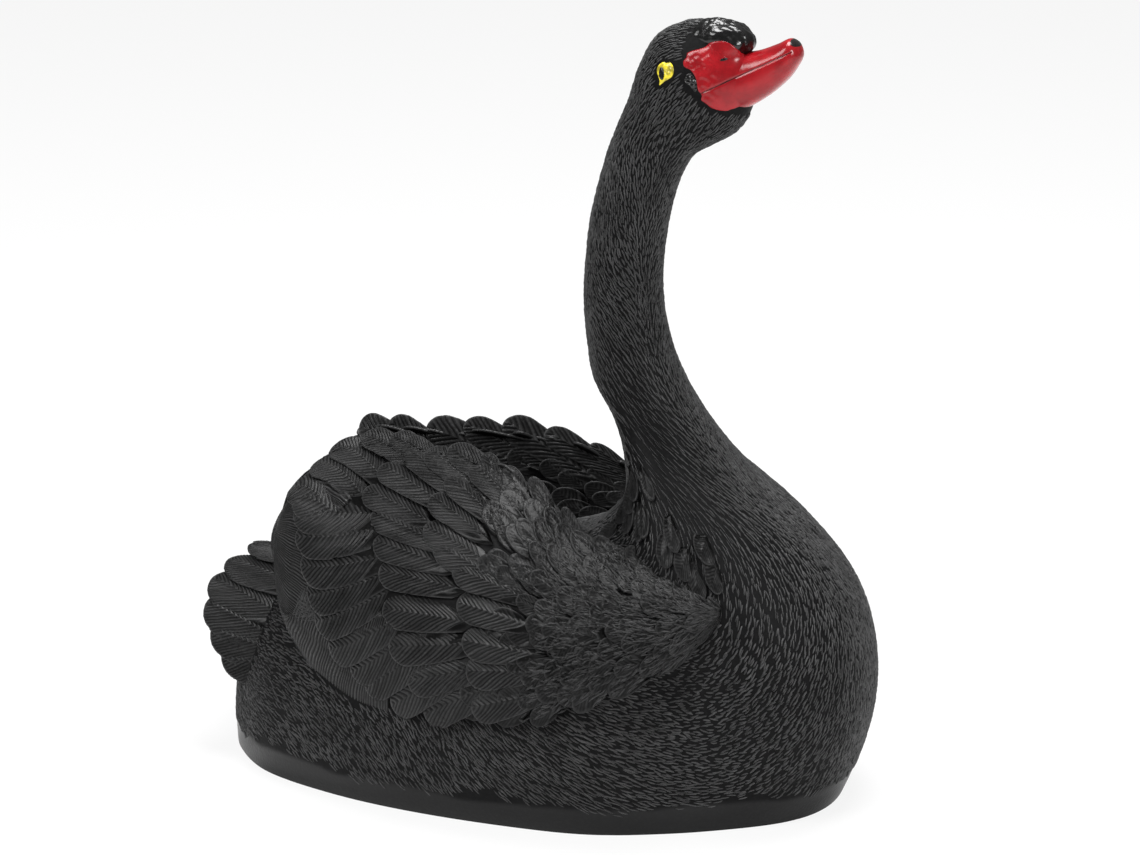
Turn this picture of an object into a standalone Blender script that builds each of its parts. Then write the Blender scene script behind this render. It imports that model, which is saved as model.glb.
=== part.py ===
"""Swan figurine with raised wings, cast in one piece and standing on a flat base.

Metres, +Z up. The origin is on the floor at the centre of the base, +X points to the breast and the
bill, and the swan is the same on both sides of Y = 0.
"""

import math

import bmesh
import bpy
import numpy as np
from mathutils import Vector

# Body: rump to breast, flank to flank, floor to the middle of the back. Its sections are a little
# squarer than an ellipse, whose fullness is 2.
BODY_LENGTH = 0.304
BODY_WIDTH = 0.176
BACK_HEIGHT = 0.104
BODY_FULLNESS = 2.15

# Neck: where its upper end is, and how thick it is.
NECK_TOP_X = 0.0497
NECK_TOP_Z = 0.2737
NECK_WIDTH = 0.0336

# Head, with the eyes on its sides.
HEAD_LENGTH = 0.066
HEAD_HEIGHT = 0.062
HEAD_WIDTH = 0.033
EYE_DIAMETER = 0.0075
EYE_PROUD = 0.0010

# Bill, and the knob over its root.
BILL_LENGTH = 0.038
BILL_HEIGHT = 0.024
BILL_WIDTH = 0.0245
BILL_FULLNESS = 2.3
BILL_RISE_ANGLE = math.radians(22)
KNOB_LENGTH = 0.026
KNOB_HEIGHT = 0.015
KNOB_WIDTH = 0.023
KNOB_DROOP_ANGLE = math.radians(12)

# Places on the head (along it, up it), as shares of its length and height from the top of the neck.
BILL_ROOT_SHARES = (0.520, 0.700)
KNOB_MIDDLE_SHARES = (0.572, 0.940)
EYE_MIDDLE_SHARES = (0.232, 0.735)

# Wings: tip to shoulder, and from the level of the lowest feathers to the ridge.
WING_LENGTH = 0.212
WING_HEIGHT = 0.096
WING_FRONT_X = 0.349 * BODY_LENGTH
WING_FOOT_Z = 0.519 * BACK_HEIGHT
WING_RIM_THICKNESS = 0.0075
WING_RIDGE_THICKNESS = 0.0060
FEATHER_LENGTH = 0.0620
FEATHER_WIDTH = 0.0150
FEATHER_THICKNESS = 0.0042
FEATHER_PROUD = 0.0024
FEATHER_EDGE_FULLNESS = 2.1

# Tail: feathers fanned over an arched sheet that is carried on the rump.
TAIL_FEATHERS = 9
TAIL_SPREAD_ANGLE = math.radians(82)
TAIL_WIDTH = 0.088
TAIL_HEIGHT = 0.040
TAIL_ROOT_Z = 0.394 * BACK_HEIGHT
TAIL_REACH = 0.008
TAIL_DRAW_IN = 0.008
TAIL_FEATHER_LENGTH = 0.062
TAIL_FEATHER_WIDTH = 0.0210
TAIL_FEATHER_THICKNESS = 0.0050
TAIL_FEATHER_STEP = 0.0026
TAIL_FEATHER_LIFT = 0.0015

# Grain of the casting's surface, and how many facets it is reduced to.
SURFACE_STEP = 0.0013
FACETS = 11300

RING_POINTS = 44
STEPS_BETWEEN = 4
WING_RINGS = 41

# Body sections from rump to neck root. Each is a slanted oval: its upper inner end (x, z), its lower
# outer end (x, z) and its half width, as shares of the body's length, back height and half width.
BODY_SECTIONS = [
    ((-0.459, 0.40), (-0.459, 0.20), 0.12),
    ((-0.443, 0.48), (-0.453, -0.08), 0.27),
    ((-0.408, 0.64), (-0.426, -0.32), 0.47),
    ((-0.330, 0.84), (-0.352, -0.43), 0.725),
    ((-0.206, 0.93), (-0.230, -0.43), 0.895),
    ((-0.082, 0.99), (-0.099, -0.43), 0.98),
    ((0.026, 1.04), (0.066, -0.43), 1.00),
    ((0.092, 1.09), (0.215, -0.43), 0.96),
    ((0.124, 1.16), (0.343, -0.37), 0.83),
    ((0.148, 1.24), (0.446, -0.15), 0.69),
    ((0.160, 1.33), (0.512, 0.34), 0.69),
    ((0.158, 1.42), (0.504, 0.76), 0.59),
    ((0.147, 1.53), (0.440, 1.06), 0.44),
    ((0.128, 1.65), (0.343, 1.31), 0.32),
]

# Neck sections up to the head: back end and front end (x, z) measured from the top of the neck, as
# shares of the neck's height over the back, and the width as a share of the neck's.
NECK_SECTIONS = [
    ((-0.114, -0.530), (0.197, -0.660), 1.34),
    ((-0.131, -0.440), (0.110, -0.520), 1.16),
    ((-0.140, -0.352), (0.068, -0.395), 1.07),
    ((-0.138, -0.258), (0.056, -0.270), 1.01),
    ((-0.123, -0.120), (0.069, -0.140), 1.00),
    ((-0.086, 0.026), (0.095, -0.034), 1.00),
]

# Head sections from nape to face, measured from the top of the neck as shares of the head's length
# and height, and their half width as a share of the head's.
HEAD_SECTIONS = [
    ((-0.148, 0.290), (0.345, 0.120), 0.99),
    ((-0.062, 0.510), (0.500, 0.228), 1.00),
    ((0.000, 0.722), (0.615, 0.296), 1.00),
    ((0.112, 0.935), (0.690, 0.376), 0.96),
    ((0.300, 1.045), (0.738, 0.468), 0.86),
    ((0.445, 1.050), (0.760, 0.560), 0.74),
    ((0.550, 0.950), (0.745, 0.650), 0.50),
]

# Bill sections from inside the face to the tip: distance along the bill, top, underside and half
# width, as shares of the bill's length, height and half width.
BILL_SECTIONS = [
    (-0.25, 0.30, -0.60, 0.95),
    (0.00, 0.30, -0.74, 1.02),
    (0.22, 0.28, -0.72, 0.95),
    (0.50, 0.16, -0.63, 0.82),
    (0.75, 0.15, -0.48, 0.74),
    (0.90, 0.17, -0.32, 0.62),
    (0.97, 0.10, -0.22, 0.42),
    (1.00, 0.00, -0.12, 0.14),
]

# Wing sections from rear to front: distance along the wing, lower edge, ridge, how far the outside
# bulges, and the foot of the inner side. A place is (out from the middle, up), as shares of the
# body's half width and of the wing's height.
WING_SECTIONS = [
    (0.000, (0.524, 0.400), (0.363, 0.700), 0.030, (0.386, 0.480)),
    (0.030, (0.614, 0.240), (0.250, 0.795), 0.083, (0.250, 0.375)),
    (0.085, (0.705, 0.094), (0.159, 0.860), 0.135, (0.136, 0.354)),
    (0.155, (0.795, -0.021), (0.113, 0.890), 0.188, (0.069, 0.375)),
    (0.250, (0.887, -0.083), (0.125, 0.905), 0.229, (0.057, 0.417)),
    (0.368, (0.955, -0.073), (0.205, 0.900), 0.240, (0.069, 0.458)),
    (0.486, (1.000, -0.052), (0.296, 0.885), 0.219, (0.113, 0.500)),
    (0.580, (1.011, -0.021), (0.386, 0.820), 0.188, (0.205, 0.542)),
    (0.679, (1.000, 0.031), (0.489, 0.700), 0.146, (0.341, 0.563)),
    (0.792, (0.965, 0.125), (0.556, 0.640), 0.115, (0.432, 0.563)),
    (0.887, (0.875, 0.219), (0.602, 0.600), 0.083, (0.478, 0.521)),
    (0.960, (0.751, 0.344), (0.625, 0.553), 0.042, (0.500, 0.500)),
    (1.000, (0.659, 0.450), (0.636, 0.505), 0.010, (0.567, 0.480)),
]

# Feather rows, from the longest, rearmost tier forward. A row is a curve of tips from the wing's lower
# edge over its outside to the ridge (1) and beyond, with its number of feathers, and their length and
# width as shares of the longest feather's.
FEATHER_ROWS = [
    ([(0.335, 0.02), (0.235, 0.10), (0.165, 0.17), (0.105, 0.26), (0.070, 0.40), (0.045, 0.60),
      (0.030, 0.82), (0.030, 1.02), (0.120, 1.08), (0.235, 1.06)], 16, 1.00, 1.00),
    ([(0.410, 0.02), (0.370, 0.13), (0.335, 0.24), (0.315, 0.38), (0.285, 0.52), (0.235, 0.66),
      (0.190, 0.80), (0.230, 0.96), (0.350, 1.03)], 12, 0.81, 0.97),
    ([(0.535, 0.05), (0.510, 0.18), (0.490, 0.32), (0.480, 0.46), (0.430, 0.58), (0.350, 0.70),
      (0.340, 0.84), (0.400, 0.97)], 10, 0.68, 1.00),
    ([(0.600, 0.08), (0.590, 0.30), (0.570, 0.50), (0.500, 0.70), (0.500, 0.92)], 9, 0.52, 0.93),
    ([(0.670, 0.10), (0.665, 0.34), (0.650, 0.58), (0.590, 0.82), (0.590, 0.99)], 8, 0.45, 0.93),
    ([(0.745, 0.12), (0.740, 0.40), (0.725, 0.68), (0.680, 0.97)], 7, 0.42, 0.90),
    ([(0.820, 0.15), (0.815, 0.45), (0.800, 0.72), (0.760, 0.97)], 6, 0.39, 0.87),
    ([(0.890, 0.20), (0.885, 0.50), (0.860, 0.92)], 5, 0.355, 0.83),
    ([(0.950, 0.30), (0.935, 0.88)], 3, 0.32, 0.80),
]
# How steeply the feathers point up and back, at the lower edge and at the ridge.
FEATHER_ANGLES = (math.radians(-24), math.radians(44))

# Rows of rounded feathers on the inner side, whose tips are counted from the ridge (1) to the foot (2).
INNER_ANGLE = math.radians(-35)
INNER_ROWS = [
    ([(0.33, 1.10), (0.42, 1.32), (0.50, 1.50)], 4, 0.58, 1.00),
    ([(0.47, 1.10), (0.55, 1.32), (0.60, 1.55)], 4, 0.48, 1.00),
    ([(0.58, 1.10), (0.66, 1.32), (0.70, 1.55)], 4, 0.42, 0.93),
    ([(0.70, 1.12), (0.77, 1.45)], 3, 0.39, 0.93),
    ([(0.82, 1.12), (0.86, 1.45)], 2, 0.355, 0.87),
]


def clear_scene():
    for thing in list(bpy.data.objects):
        bpy.data.objects.remove(thing, do_unlink=True)


def smooth_rows(rows, steps):
    """Rows of numbers with more rows between them, on a Catmull-Rom curve through them."""
    rows = np.array(rows, float)
    padded = np.vstack([2 * rows[0] - rows[1], rows, 2 * rows[-1] - rows[-2]])
    found = []
    for i in range(len(rows) - 1):
        before, start, end, after = padded[i:i + 4]
        for k in range(steps):
            t = k / steps
            found.append(0.5 * (2 * start + (end - before) * t
                                + (2 * before - 5 * start + 4 * end - after) * t ** 2
                                + (3 * start - before - 3 * end + after) * t ** 3))
    return np.array(found + [rows[-1]])


def along(points, share):
    """The place at a share of the way along a run of points."""
    points = np.array(points, float)
    spans = np.linalg.norm(np.diff(points, axis=0), axis=1)
    reached = np.concatenate([[0.0], np.cumsum(spans)])
    wanted = share * reached[-1]
    return np.array([np.interp(wanted, reached, points[:, c]) for c in range(points.shape[1])])


def rounded_cos_sin(angle, fullness):
    """Cosine and sine of an angle on a superellipse, whose fullness of 2 is a plain ellipse."""
    power = 2 / fullness
    c, s = math.cos(angle), math.sin(angle)
    return math.copysign(abs(c) ** power, c), math.copysign(abs(s) ** power, s)


def loft(name, rings):
    """A closed mesh through rings of points, with its first and last ring filled."""
    mesh_points = bmesh.new()
    rows = [[mesh_points.verts.new(p) for p in ring] for ring in rings]
    count = len(rings[0])
    for lower, upper in zip(rows, rows[1:]):
        for i in range(count):
            j = (i + 1) % count
            mesh_points.faces.new((lower[i], lower[j], upper[j], upper[i]))
    mesh_points.faces.new(rows[0])
    mesh_points.faces.new(rows[-1])
    bmesh.ops.recalc_face_normals(mesh_points, faces=mesh_points.faces)
    return object_from(name, mesh_points)


def object_from(name, mesh_points):
    mesh = bpy.data.meshes.new(name)
    mesh_points.to_mesh(mesh)
    mesh_points.free()
    made = bpy.data.objects.new(name, mesh)
    casting_collection.objects.link(made)
    return made


def slanted_oval(back, front, half_width, fullness):
    """A ring in the plane that holds both ends of a section and runs straight across the swan."""
    middle = (Vector(back) + Vector(front)) / 2
    half = (Vector(front) - Vector(back)) / 2
    ring = []
    for i in range(RING_POINTS):
        c, s = rounded_cos_sin(2 * math.pi * i / RING_POINTS, fullness)
        ring.append((middle.x + half.x * c, half_width * s, middle.y + half.y * c))
    return ring


def placed_sections(sections, origin, size, width, fullness):
    """Sections as numbers in metres: back x and z, front x and z, half width and fullness."""
    return [(origin[0] + back[0] * size[0], origin[1] + back[1] * size[1],
             origin[0] + front[0] * size[0], origin[1] + front[1] * size[1],
             share * width / 2, fullness) for back, front, share in sections]


def make_body():
    """One skin from the rump over the back and the breast, up the neck and round to the face."""
    neck_height = NECK_TOP_Z - BACK_HEIGHT
    neck_top = (NECK_TOP_X, NECK_TOP_Z)
    rows = placed_sections(BODY_SECTIONS, (0, 0), (BODY_LENGTH, BACK_HEIGHT), BODY_WIDTH, BODY_FULLNESS)
    rows += placed_sections(NECK_SECTIONS, neck_top, (neck_height, neck_height), NECK_WIDTH, 2)
    rows += placed_sections(HEAD_SECTIONS, neck_top, (HEAD_LENGTH, HEAD_HEIGHT), HEAD_WIDTH, 2)
    rings = []
    for back_x, back_z, front_x, front_z, half_width, fullness in smooth_rows(rows, STEPS_BETWEEN):
        rings.append(slanted_oval((back_x, back_z), (front_x, front_z), half_width, fullness))
    return [loft("body", rings)]


def head_place(shares):
    return NECK_TOP_X + shares[0] * HEAD_LENGTH, NECK_TOP_Z + shares[1] * HEAD_HEIGHT


def make_bill():
    """The bill rises from the middle of the face. Its underside sweeps up to a blunt, hooked tip."""
    root = Vector(head_place(BILL_ROOT_SHARES))
    forward = Vector((math.cos(BILL_RISE_ANGLE), math.sin(BILL_RISE_ANGLE)))
    upward = Vector((-forward.y, forward.x))
    rings = []
    for run, top, bottom, width in smooth_rows(BILL_SECTIONS, STEPS_BETWEEN):
        high = root + forward * run * BILL_LENGTH + upward * top * BILL_HEIGHT
        low = root + forward * run * BILL_LENGTH + upward * bottom * BILL_HEIGHT
        rings.append(slanted_oval(high, low, width * BILL_WIDTH / 2, BILL_FULLNESS))
    return [loft("bill", rings)]


def pressed_ball(name, place, size, tilt=0.0, segments=20):
    """A ball with its own three diameters, tipped forwards by an angle."""
    ball = bmesh.new()
    bmesh.ops.create_uvsphere(ball, u_segments=segments, v_segments=segments // 2, radius=0.5)
    for vert in ball.verts:
        x, y, z = vert.co.x * size[0], vert.co.y * size[1], vert.co.z * size[2]
        vert.co = (place[0] + x * math.cos(tilt) + z * math.sin(tilt),
                   place[1] + y,
                   place[2] - x * math.sin(tilt) + z * math.cos(tilt))
    return object_from(name, ball)


def make_knob():
    """A lumpy knob over the root of the bill, drooping at its front."""
    x, z = head_place(KNOB_MIDDLE_SHARES)
    made = [pressed_ball("knob", (x, 0, z), (KNOB_LENGTH, KNOB_WIDTH, KNOB_HEIGHT), KNOB_DROOP_ANGLE)]
    lobe = (0.5 * KNOB_LENGTH, 0.5 * KNOB_WIDTH, 0.8 * KNOB_HEIGHT)
    for side in (-1, 1):
        made.append(pressed_ball("knob_lobe", (x + 0.2 * KNOB_LENGTH, side * 0.17 * KNOB_WIDTH, z), lobe))
    return made


def make_eyes():
    x, z = head_place(EYE_MIDDLE_SHARES)
    size = (EYE_DIAMETER, EYE_DIAMETER, EYE_DIAMETER)
    away = HEAD_WIDTH / 2 + EYE_PROUD - EYE_DIAMETER / 2
    return [pressed_ball("eye", (x, side * away, z), size, segments=12) for side in (-1, 1)]


def wing_section(share):
    """A wing section at a share of the way from rear to front: lower edge, ridge, bulge and foot."""
    runs = [row[0] for row in WING_SECTIONS]
    flat = [(*low, *ridge, bulge, *foot) for _, low, ridge, bulge, foot in WING_SECTIONS]
    found = [np.interp(share, runs, [row[c] for row in flat]) for c in range(7)]
    low_y, low_z, ridge_y, ridge_z, bulge, foot_y, foot_z = found
    half = BODY_WIDTH / 2
    return (Vector((low_y * half, low_z * WING_HEIGHT)), Vector((ridge_y * half, ridge_z * WING_HEIGHT)),
            bulge * WING_HEIGHT, Vector((foot_y * half, foot_z * WING_HEIGHT)))


def wing_point(share, turn, proud=0.0, inner=False):
    """A place on the left wing: turn is 0 at its lower edge, 1 at its ridge and 2 at the inner foot."""
    low, ridge, bulge, foot = wing_section(share)
    if inner:
        chord = foot - ridge
        place = ridge + chord * (turn - 1)
        normal = Vector((chord.y, -chord.x)).normalized()
    else:
        chord = ridge - low
        outward = Vector((chord.y, -chord.x)).normalized()
        place = low + chord * turn + outward * bulge * 4 * turn * (1 - turn)
        slope = bulge * 4 * (1 - 2 * turn) / chord.length
        normal = (outward - chord.normalized() * slope).normalized()
    place += normal * proud
    return Vector((WING_FRONT_X - (1 - share) * WING_LENGTH, place.x, WING_FOOT_Z + place.y))


def wing_ring(share):
    """The closed outline of a wing at one section: outside, ridge, inner side and underside."""
    outside = [wing_point(share, k / 12) for k in range(13)]
    inner = [wing_point(share, 1 + k / 6, WING_RIDGE_THICKNESS / 2, inner=True) for k in range(1, 7)]
    low = outside[0]
    under = Vector((low.x, low.y - WING_RIM_THICKNESS, low.z + 0.4 * WING_RIM_THICKNESS))
    return outside + inner + [under]


def make_wing():
    rings = [wing_ring(share) for share in np.linspace(0, 1, WING_RINGS)]
    return [loft("wing", rings)]


def leaf(segments=12, rings=9):
    """A ball to press into a feather, and for each of its points: how far along the feather it is (0 the
    root, 1 the tip), how far across (-1 to 1) and how far from the middle of its thickness (-1 to 1)."""
    ball = bmesh.new()
    bmesh.ops.create_uvsphere(ball, u_segments=segments, v_segments=rings, radius=1.0)
    placed = []
    for vert in ball.verts:
        across, through = rounded_cos_sin(math.atan2(vert.co.y, vert.co.x), FEATHER_EDGE_FULLNESS)
        placed.append((vert, (1 + vert.co.z) / 2, across, through))
    return ball, placed


def leaf_half_width(run, length, width):
    """A feather's half width: narrow at the root, then parallel, and a round end."""
    round_end = 0.62 * width / length
    before_end = 1 - round_end
    if run > before_end:
        return width / 2 * math.sqrt(max(1 - ((run - before_end) / round_end) ** 2, 0))
    return width / 2 * (0.35 + 0.65 * math.sin(math.pi / 2 * run / before_end))


def feather(name, share, turn, angle, length, width, inner=False):
    """A feather whose tip is at a place on the wing. Its root is sunk and its tip stands proud."""
    shape, placed = leaf()
    low, ridge, _, _ = wing_section(share)
    girth = max((ridge - low).length, 0.3 * WING_HEIGHT)
    for vert, run, across, through in placed:
        back = (1 - run) * length
        aside = across * leaf_half_width(run, length, width)
        at_share = share + (back * math.cos(angle) + aside * math.sin(angle)) / WING_LENGTH
        at_turn = turn - (back * math.sin(angle) - aside * math.cos(angle)) / girth
        height = FEATHER_PROUD * (run - 0.35) + through * (1 - 0.45 * run) * FEATHER_THICKNESS / 2
        if inner:
            height += WING_RIDGE_THICKNESS / 2
        vert.co = wing_point(min(at_share, 1.0), at_turn, height, inner)
    bmesh.ops.recalc_face_normals(shape, faces=shape.faces)
    return object_from(name, shape)


def make_feathers():
    made = []
    first, last = FEATHER_ANGLES
    for curve, count, length, width in FEATHER_ROWS:
        for i in range(count):
            share, turn = along(curve, i / (count - 1))
            angle = first + (last - first) * min(max(turn, 0), 1)
            made.append(feather("feather", share, turn, angle,
                                length * FEATHER_LENGTH, width * FEATHER_WIDTH))
    for curve, count, length, width in INNER_ROWS:
        for i in range(count):
            share, turn = along(curve, i / (count - 1))
            made.append(feather("inner_feather", share, turn, INNER_ANGLE,
                                length * FEATHER_LENGTH, width * FEATHER_WIDTH, inner=True))
    return made


def make_tail():
    """Feathers fanned over an arched sheet, their rounded tips past the rump."""
    made = []
    rump_x = BODY_SECTIONS[0][0][0] * BODY_LENGTH
    for i in range(TAIL_FEATHERS):
        turn = TAIL_SPREAD_ANGLE * (2 * i / (TAIL_FEATHERS - 1) - 1)
        shape, placed = leaf(14, 11)
        tip = rump_x - TAIL_REACH * math.sin(2 * abs(turn)) + TAIL_DRAW_IN * math.sin(turn) ** 4
        for vert, run, across, through in placed:
            x = tip + (1 - run) * TAIL_FEATHER_LENGTH
            half = leaf_half_width(run, TAIL_FEATHER_LENGTH, TAIL_FEATHER_WIDTH)
            a = turn + across * half / (TAIL_WIDTH / 2)
            lift = through * TAIL_FEATHER_THICKNESS / 2 * (1 - 0.5 * run) + TAIL_FEATHER_LIFT * (run - 0.6)
            lift += TAIL_FEATHER_STEP * (1 if i % 2 else -1) / 2
            y = (TAIL_WIDTH / 2 + lift) * math.sin(a)
            z = TAIL_ROOT_Z + (TAIL_HEIGHT + lift) * math.cos(a)
            vert.co = (x, y, z)
        bmesh.ops.recalc_face_normals(shape, faces=shape.faces)
        made.append(object_from("tail_feather", shape))
    return made


def mirrored(shapes):
    """Copies of the left side's shapes for the right side."""
    made = []
    for shape in shapes:
        other = bmesh.new()
        other.from_mesh(shape.data)
        for vert in other.verts:
            vert.co.y = -vert.co.y
        bmesh.ops.reverse_faces(other, faces=other.faces)
        made.append(object_from(shape.name + "_right", other))
    return made


def fused(name, shapes):
    """One skin over all the shapes, reduced to the wanted facets and cut flat on the floor."""
    joined = bmesh.new()
    for shape in shapes:
        joined.from_mesh(shape.data)
        bpy.data.objects.remove(shape, do_unlink=True)
    casting = object_from(name, joined)
    skin = casting.modifiers.new("skin", "REMESH")
    skin.mode = "VOXEL"
    skin.voxel_size = SURFACE_STEP
    baked = baked_mesh(casting)
    largest_piece_only(baked)
    casting.modifiers.clear()
    casting.data = baked
    reduce = casting.modifiers.new("facets", "DECIMATE")
    reduce.ratio = FACETS / (2 * len(baked.polygons))
    baked = baked_mesh(casting)
    casting.modifiers.clear()
    casting.data = baked
    cut_flat(casting)
    return casting


def largest_piece_only(mesh):
    """Drops the flecks that a skin of this step leaves at feather edges thinner than the step."""
    skin = bmesh.new()
    skin.from_mesh(mesh)
    left, pieces = set(skin.verts), []
    while left:
        piece, waiting = [], [left.pop()]
        while waiting:
            vert = waiting.pop()
            piece.append(vert)
            near = {edge.other_vert(vert) for edge in vert.link_edges} & left
            left -= near
            waiting += near
        pieces.append(piece)
    pieces.sort(key=len)
    bmesh.ops.delete(skin, geom=[vert for piece in pieces[:-1] for vert in piece], context="VERTS")
    skin.to_mesh(mesh)
    skin.free()


def baked_mesh(thing):
    graph = bpy.context.evaluated_depsgraph_get()
    return bpy.data.meshes.new_from_object(thing.evaluated_get(graph))


def cut_flat(casting):
    cut = bmesh.new()
    cut.from_mesh(casting.data)
    everything = cut.verts[:] + cut.edges[:] + cut.faces[:]
    sliced = bmesh.ops.bisect_plane(cut, geom=everything, plane_co=(0, 0, 0), plane_no=(0, 0, -1),
                                    clear_outer=True)
    rim = [e for e in sliced["geom_cut"] if isinstance(e, bmesh.types.BMEdge)]
    bmesh.ops.edgeloop_fill(cut, edges=rim)
    bmesh.ops.triangulate(cut, faces=cut.faces)
    bmesh.ops.recalc_face_normals(cut, faces=cut.faces)
    cut.to_mesh(casting.data)
    cut.free()


def paint(name, colour, roughness):
    made = bpy.data.materials.new(name)
    made.use_nodes = True
    shader = made.node_tree.nodes["Principled BSDF"]
    shader.inputs["Base Color"].default_value = (*colour, 1)
    shader.inputs["Roughness"].default_value = roughness
    return made


clear_scene()
casting_collection = bpy.data.collections.new("swan_figurine")
bpy.context.scene.collection.children.link(casting_collection)

left_side = make_wing() + make_feathers()
shapes = make_body() + make_bill() + make_knob() + make_eyes() + make_tail() + left_side + mirrored(left_side)
swan = fused("swan_casting", shapes)
swan.data.materials.append(paint("black_paint", (0.012, 0.012, 0.013), 0.38))
swan.data.shade_smooth()
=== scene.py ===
import math

import bpy
import numpy as np
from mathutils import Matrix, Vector
from mathutils.bvhtree import BVHTree


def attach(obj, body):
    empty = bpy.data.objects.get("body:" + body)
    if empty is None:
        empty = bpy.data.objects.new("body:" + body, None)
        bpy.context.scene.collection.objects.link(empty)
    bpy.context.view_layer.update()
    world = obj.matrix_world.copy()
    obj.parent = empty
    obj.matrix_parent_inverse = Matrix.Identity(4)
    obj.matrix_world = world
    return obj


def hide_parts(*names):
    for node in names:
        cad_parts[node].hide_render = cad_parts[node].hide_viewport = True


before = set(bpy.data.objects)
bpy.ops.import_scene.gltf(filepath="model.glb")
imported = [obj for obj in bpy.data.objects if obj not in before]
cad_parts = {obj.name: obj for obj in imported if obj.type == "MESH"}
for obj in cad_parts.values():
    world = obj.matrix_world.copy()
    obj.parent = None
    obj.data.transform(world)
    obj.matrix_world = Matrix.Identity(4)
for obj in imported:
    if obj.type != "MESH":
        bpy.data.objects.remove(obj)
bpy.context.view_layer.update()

bpy.ops.object.select_all(action="DESELECT")


# The swan stands on a plain white sheet that runs on behind it, in a white studio.
# The sheet shows a soft shadow. The camera is a little to the front of its right side.
class Signal:
    """One value inside a material. Python's operators on it add Math nodes."""

    def __init__(self, tree, socket=None):
        self.tree, self.socket = tree, socket

    def node(self, kind, settings=None, values=None, out=0):
        made = self.tree.nodes.new(kind)
        for name, setting in (settings or {}).items():
            setattr(made, name, setting)
        for name, value in (values or {}).items():
            if isinstance(value, Signal):
                self.tree.links.new(value.socket, made.inputs[name])
            else:
                made.inputs[name].default_value = value
        return Signal(self.tree, made.outputs[out] if len(made.outputs) else None)

    def maths(self, operation, *values):
        return self.node("ShaderNodeMath", {"operation": operation}, dict(enumerate(values)))

    def __add__(self, other):
        return self.maths("ADD", self, other)

    def __sub__(self, other):
        return self.maths("SUBTRACT", self, other)

    def __rsub__(self, other):
        return self.maths("SUBTRACT", other, self)

    def __mul__(self, other):
        return self.maths("MULTIPLY", self, other)

    __radd__ = __add__
    __rmul__ = __mul__

    def between(self, low, high):
        """0 below the low value, 1 above the high one, and smooth between them."""
        return self.node("ShaderNodeMapRange", {"interpolation_type": "SMOOTHSTEP"},
                         {"Value": self, "From Min": low, "From Max": high})

    def noise(self, place, scale, detail, roughness=0.5):
        return self.node("ShaderNodeTexNoise", None,
                         {"Vector": place, "Scale": scale, "Detail": detail, "Roughness": roughness})

    def mixed(self, share, *colours):
        """The first colour where the share is 0 and the second where it is 1."""
        first, second = [colour if isinstance(colour, Signal) else (*colour, 1) for colour in colours]
        return self.node("ShaderNodeMix", {"data_type": "RGBA"}, {"Factor": share, 6: first, 7: second}, out=2)

    def bumps(self, strength, distance, height):
        return self.node("ShaderNodeBump", None,
                         {"Strength": strength, "Distance": distance, "Height": height})

    def surface(self, values):
        """The material's own shader, joined to its output."""
        shader = self.node("ShaderNodeBsdfPrincipled", None, values)
        self.node("ShaderNodeOutputMaterial", None, {"Surface": shader})


def new_material(name):
    made = bpy.data.materials.new(name)
    made.use_nodes = True
    made.node_tree.nodes.clear()
    return made, Signal(made.node_tree)


SHEET_SIZE = 7.0
bpy.ops.mesh.primitive_plane_add(size=SHEET_SIZE, location=(0, 0, 0))
sheet = bpy.context.object
sheet.name = "studio_sheet"
sheet_finish, paper = new_material("white_sheet")
matt = paper.node("ShaderNodeBsdfPrincipled", None, {"Base Color": (0.86, 0.86, 0.86, 1), "Roughness": 0.7})
glow = paper.node("ShaderNodeEmission", None, {"Color": (1, 1, 1, 1), "Strength": 1.0})
seen = paper.node("ShaderNodeLightPath", out="Is Camera Ray")
mirrored_too = paper.node("ShaderNodeLightPath", out="Is Glossy Ray")
mixed = paper.node("ShaderNodeMixShader", None, {0: seen * 0.85 + mirrored_too * 0.15, 1: matt, 2: glow})
paper.node("ShaderNodeOutputMaterial", None, {"Surface": mixed})
sheet.data.materials.append(sheet_finish)

WORLD_LIGHT, LESS_IN_GLOSS = 0.32, 0.10
studio = bpy.data.worlds.new("studio")
bpy.context.scene.world = studio
studio.use_nodes = True
studio.node_tree.nodes.clear()
air = Signal(studio.node_tree)
straight = air.node("ShaderNodeLightPath", out="Is Camera Ray")
shiny = air.node("ShaderNodeLightPath", out="Is Glossy Ray")
through = air.node("ShaderNodeLightPath", out="Is Transmission Ray")
strength = WORLD_LIGHT + (straight + through) * (1 - WORLD_LIGHT) - shiny * LESS_IN_GLOSS
backdrop = air.node("ShaderNodeBackground", None, {"Color": (1, 1, 1, 1), "Strength": strength})
air.node("ShaderNodeOutputWorld", None, {"Surface": backdrop})

# Soft boxes: place in metres, what each points at, its width, and its power in watts.
SOFT_BOXES = [
    ("key", (-0.7, -1.2, 1.5), (0.0, 0.0, 0.15), 0.80, 25.0),
    ("fill", (1.5, -0.7, 0.9), (0.0, 0.0, 0.12), 0.45, 14.0),
    ("top", (0.1, 0.3, 1.7), (0.0, 0.0, 0.10), 0.80, 34.0),
]
for name, place, aim, width, power in SOFT_BOXES:
    bpy.ops.object.light_add(type="AREA", location=place)
    lamp = bpy.context.object
    lamp.name = "soft_box_" + name
    lamp.data.shape = "SQUARE"
    lamp.data.size = width
    lamp.data.energy = power
    lamp.rotation_euler = (Vector(aim) - Vector(place)).to_track_quat("-Z", "Y").to_euler()

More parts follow.
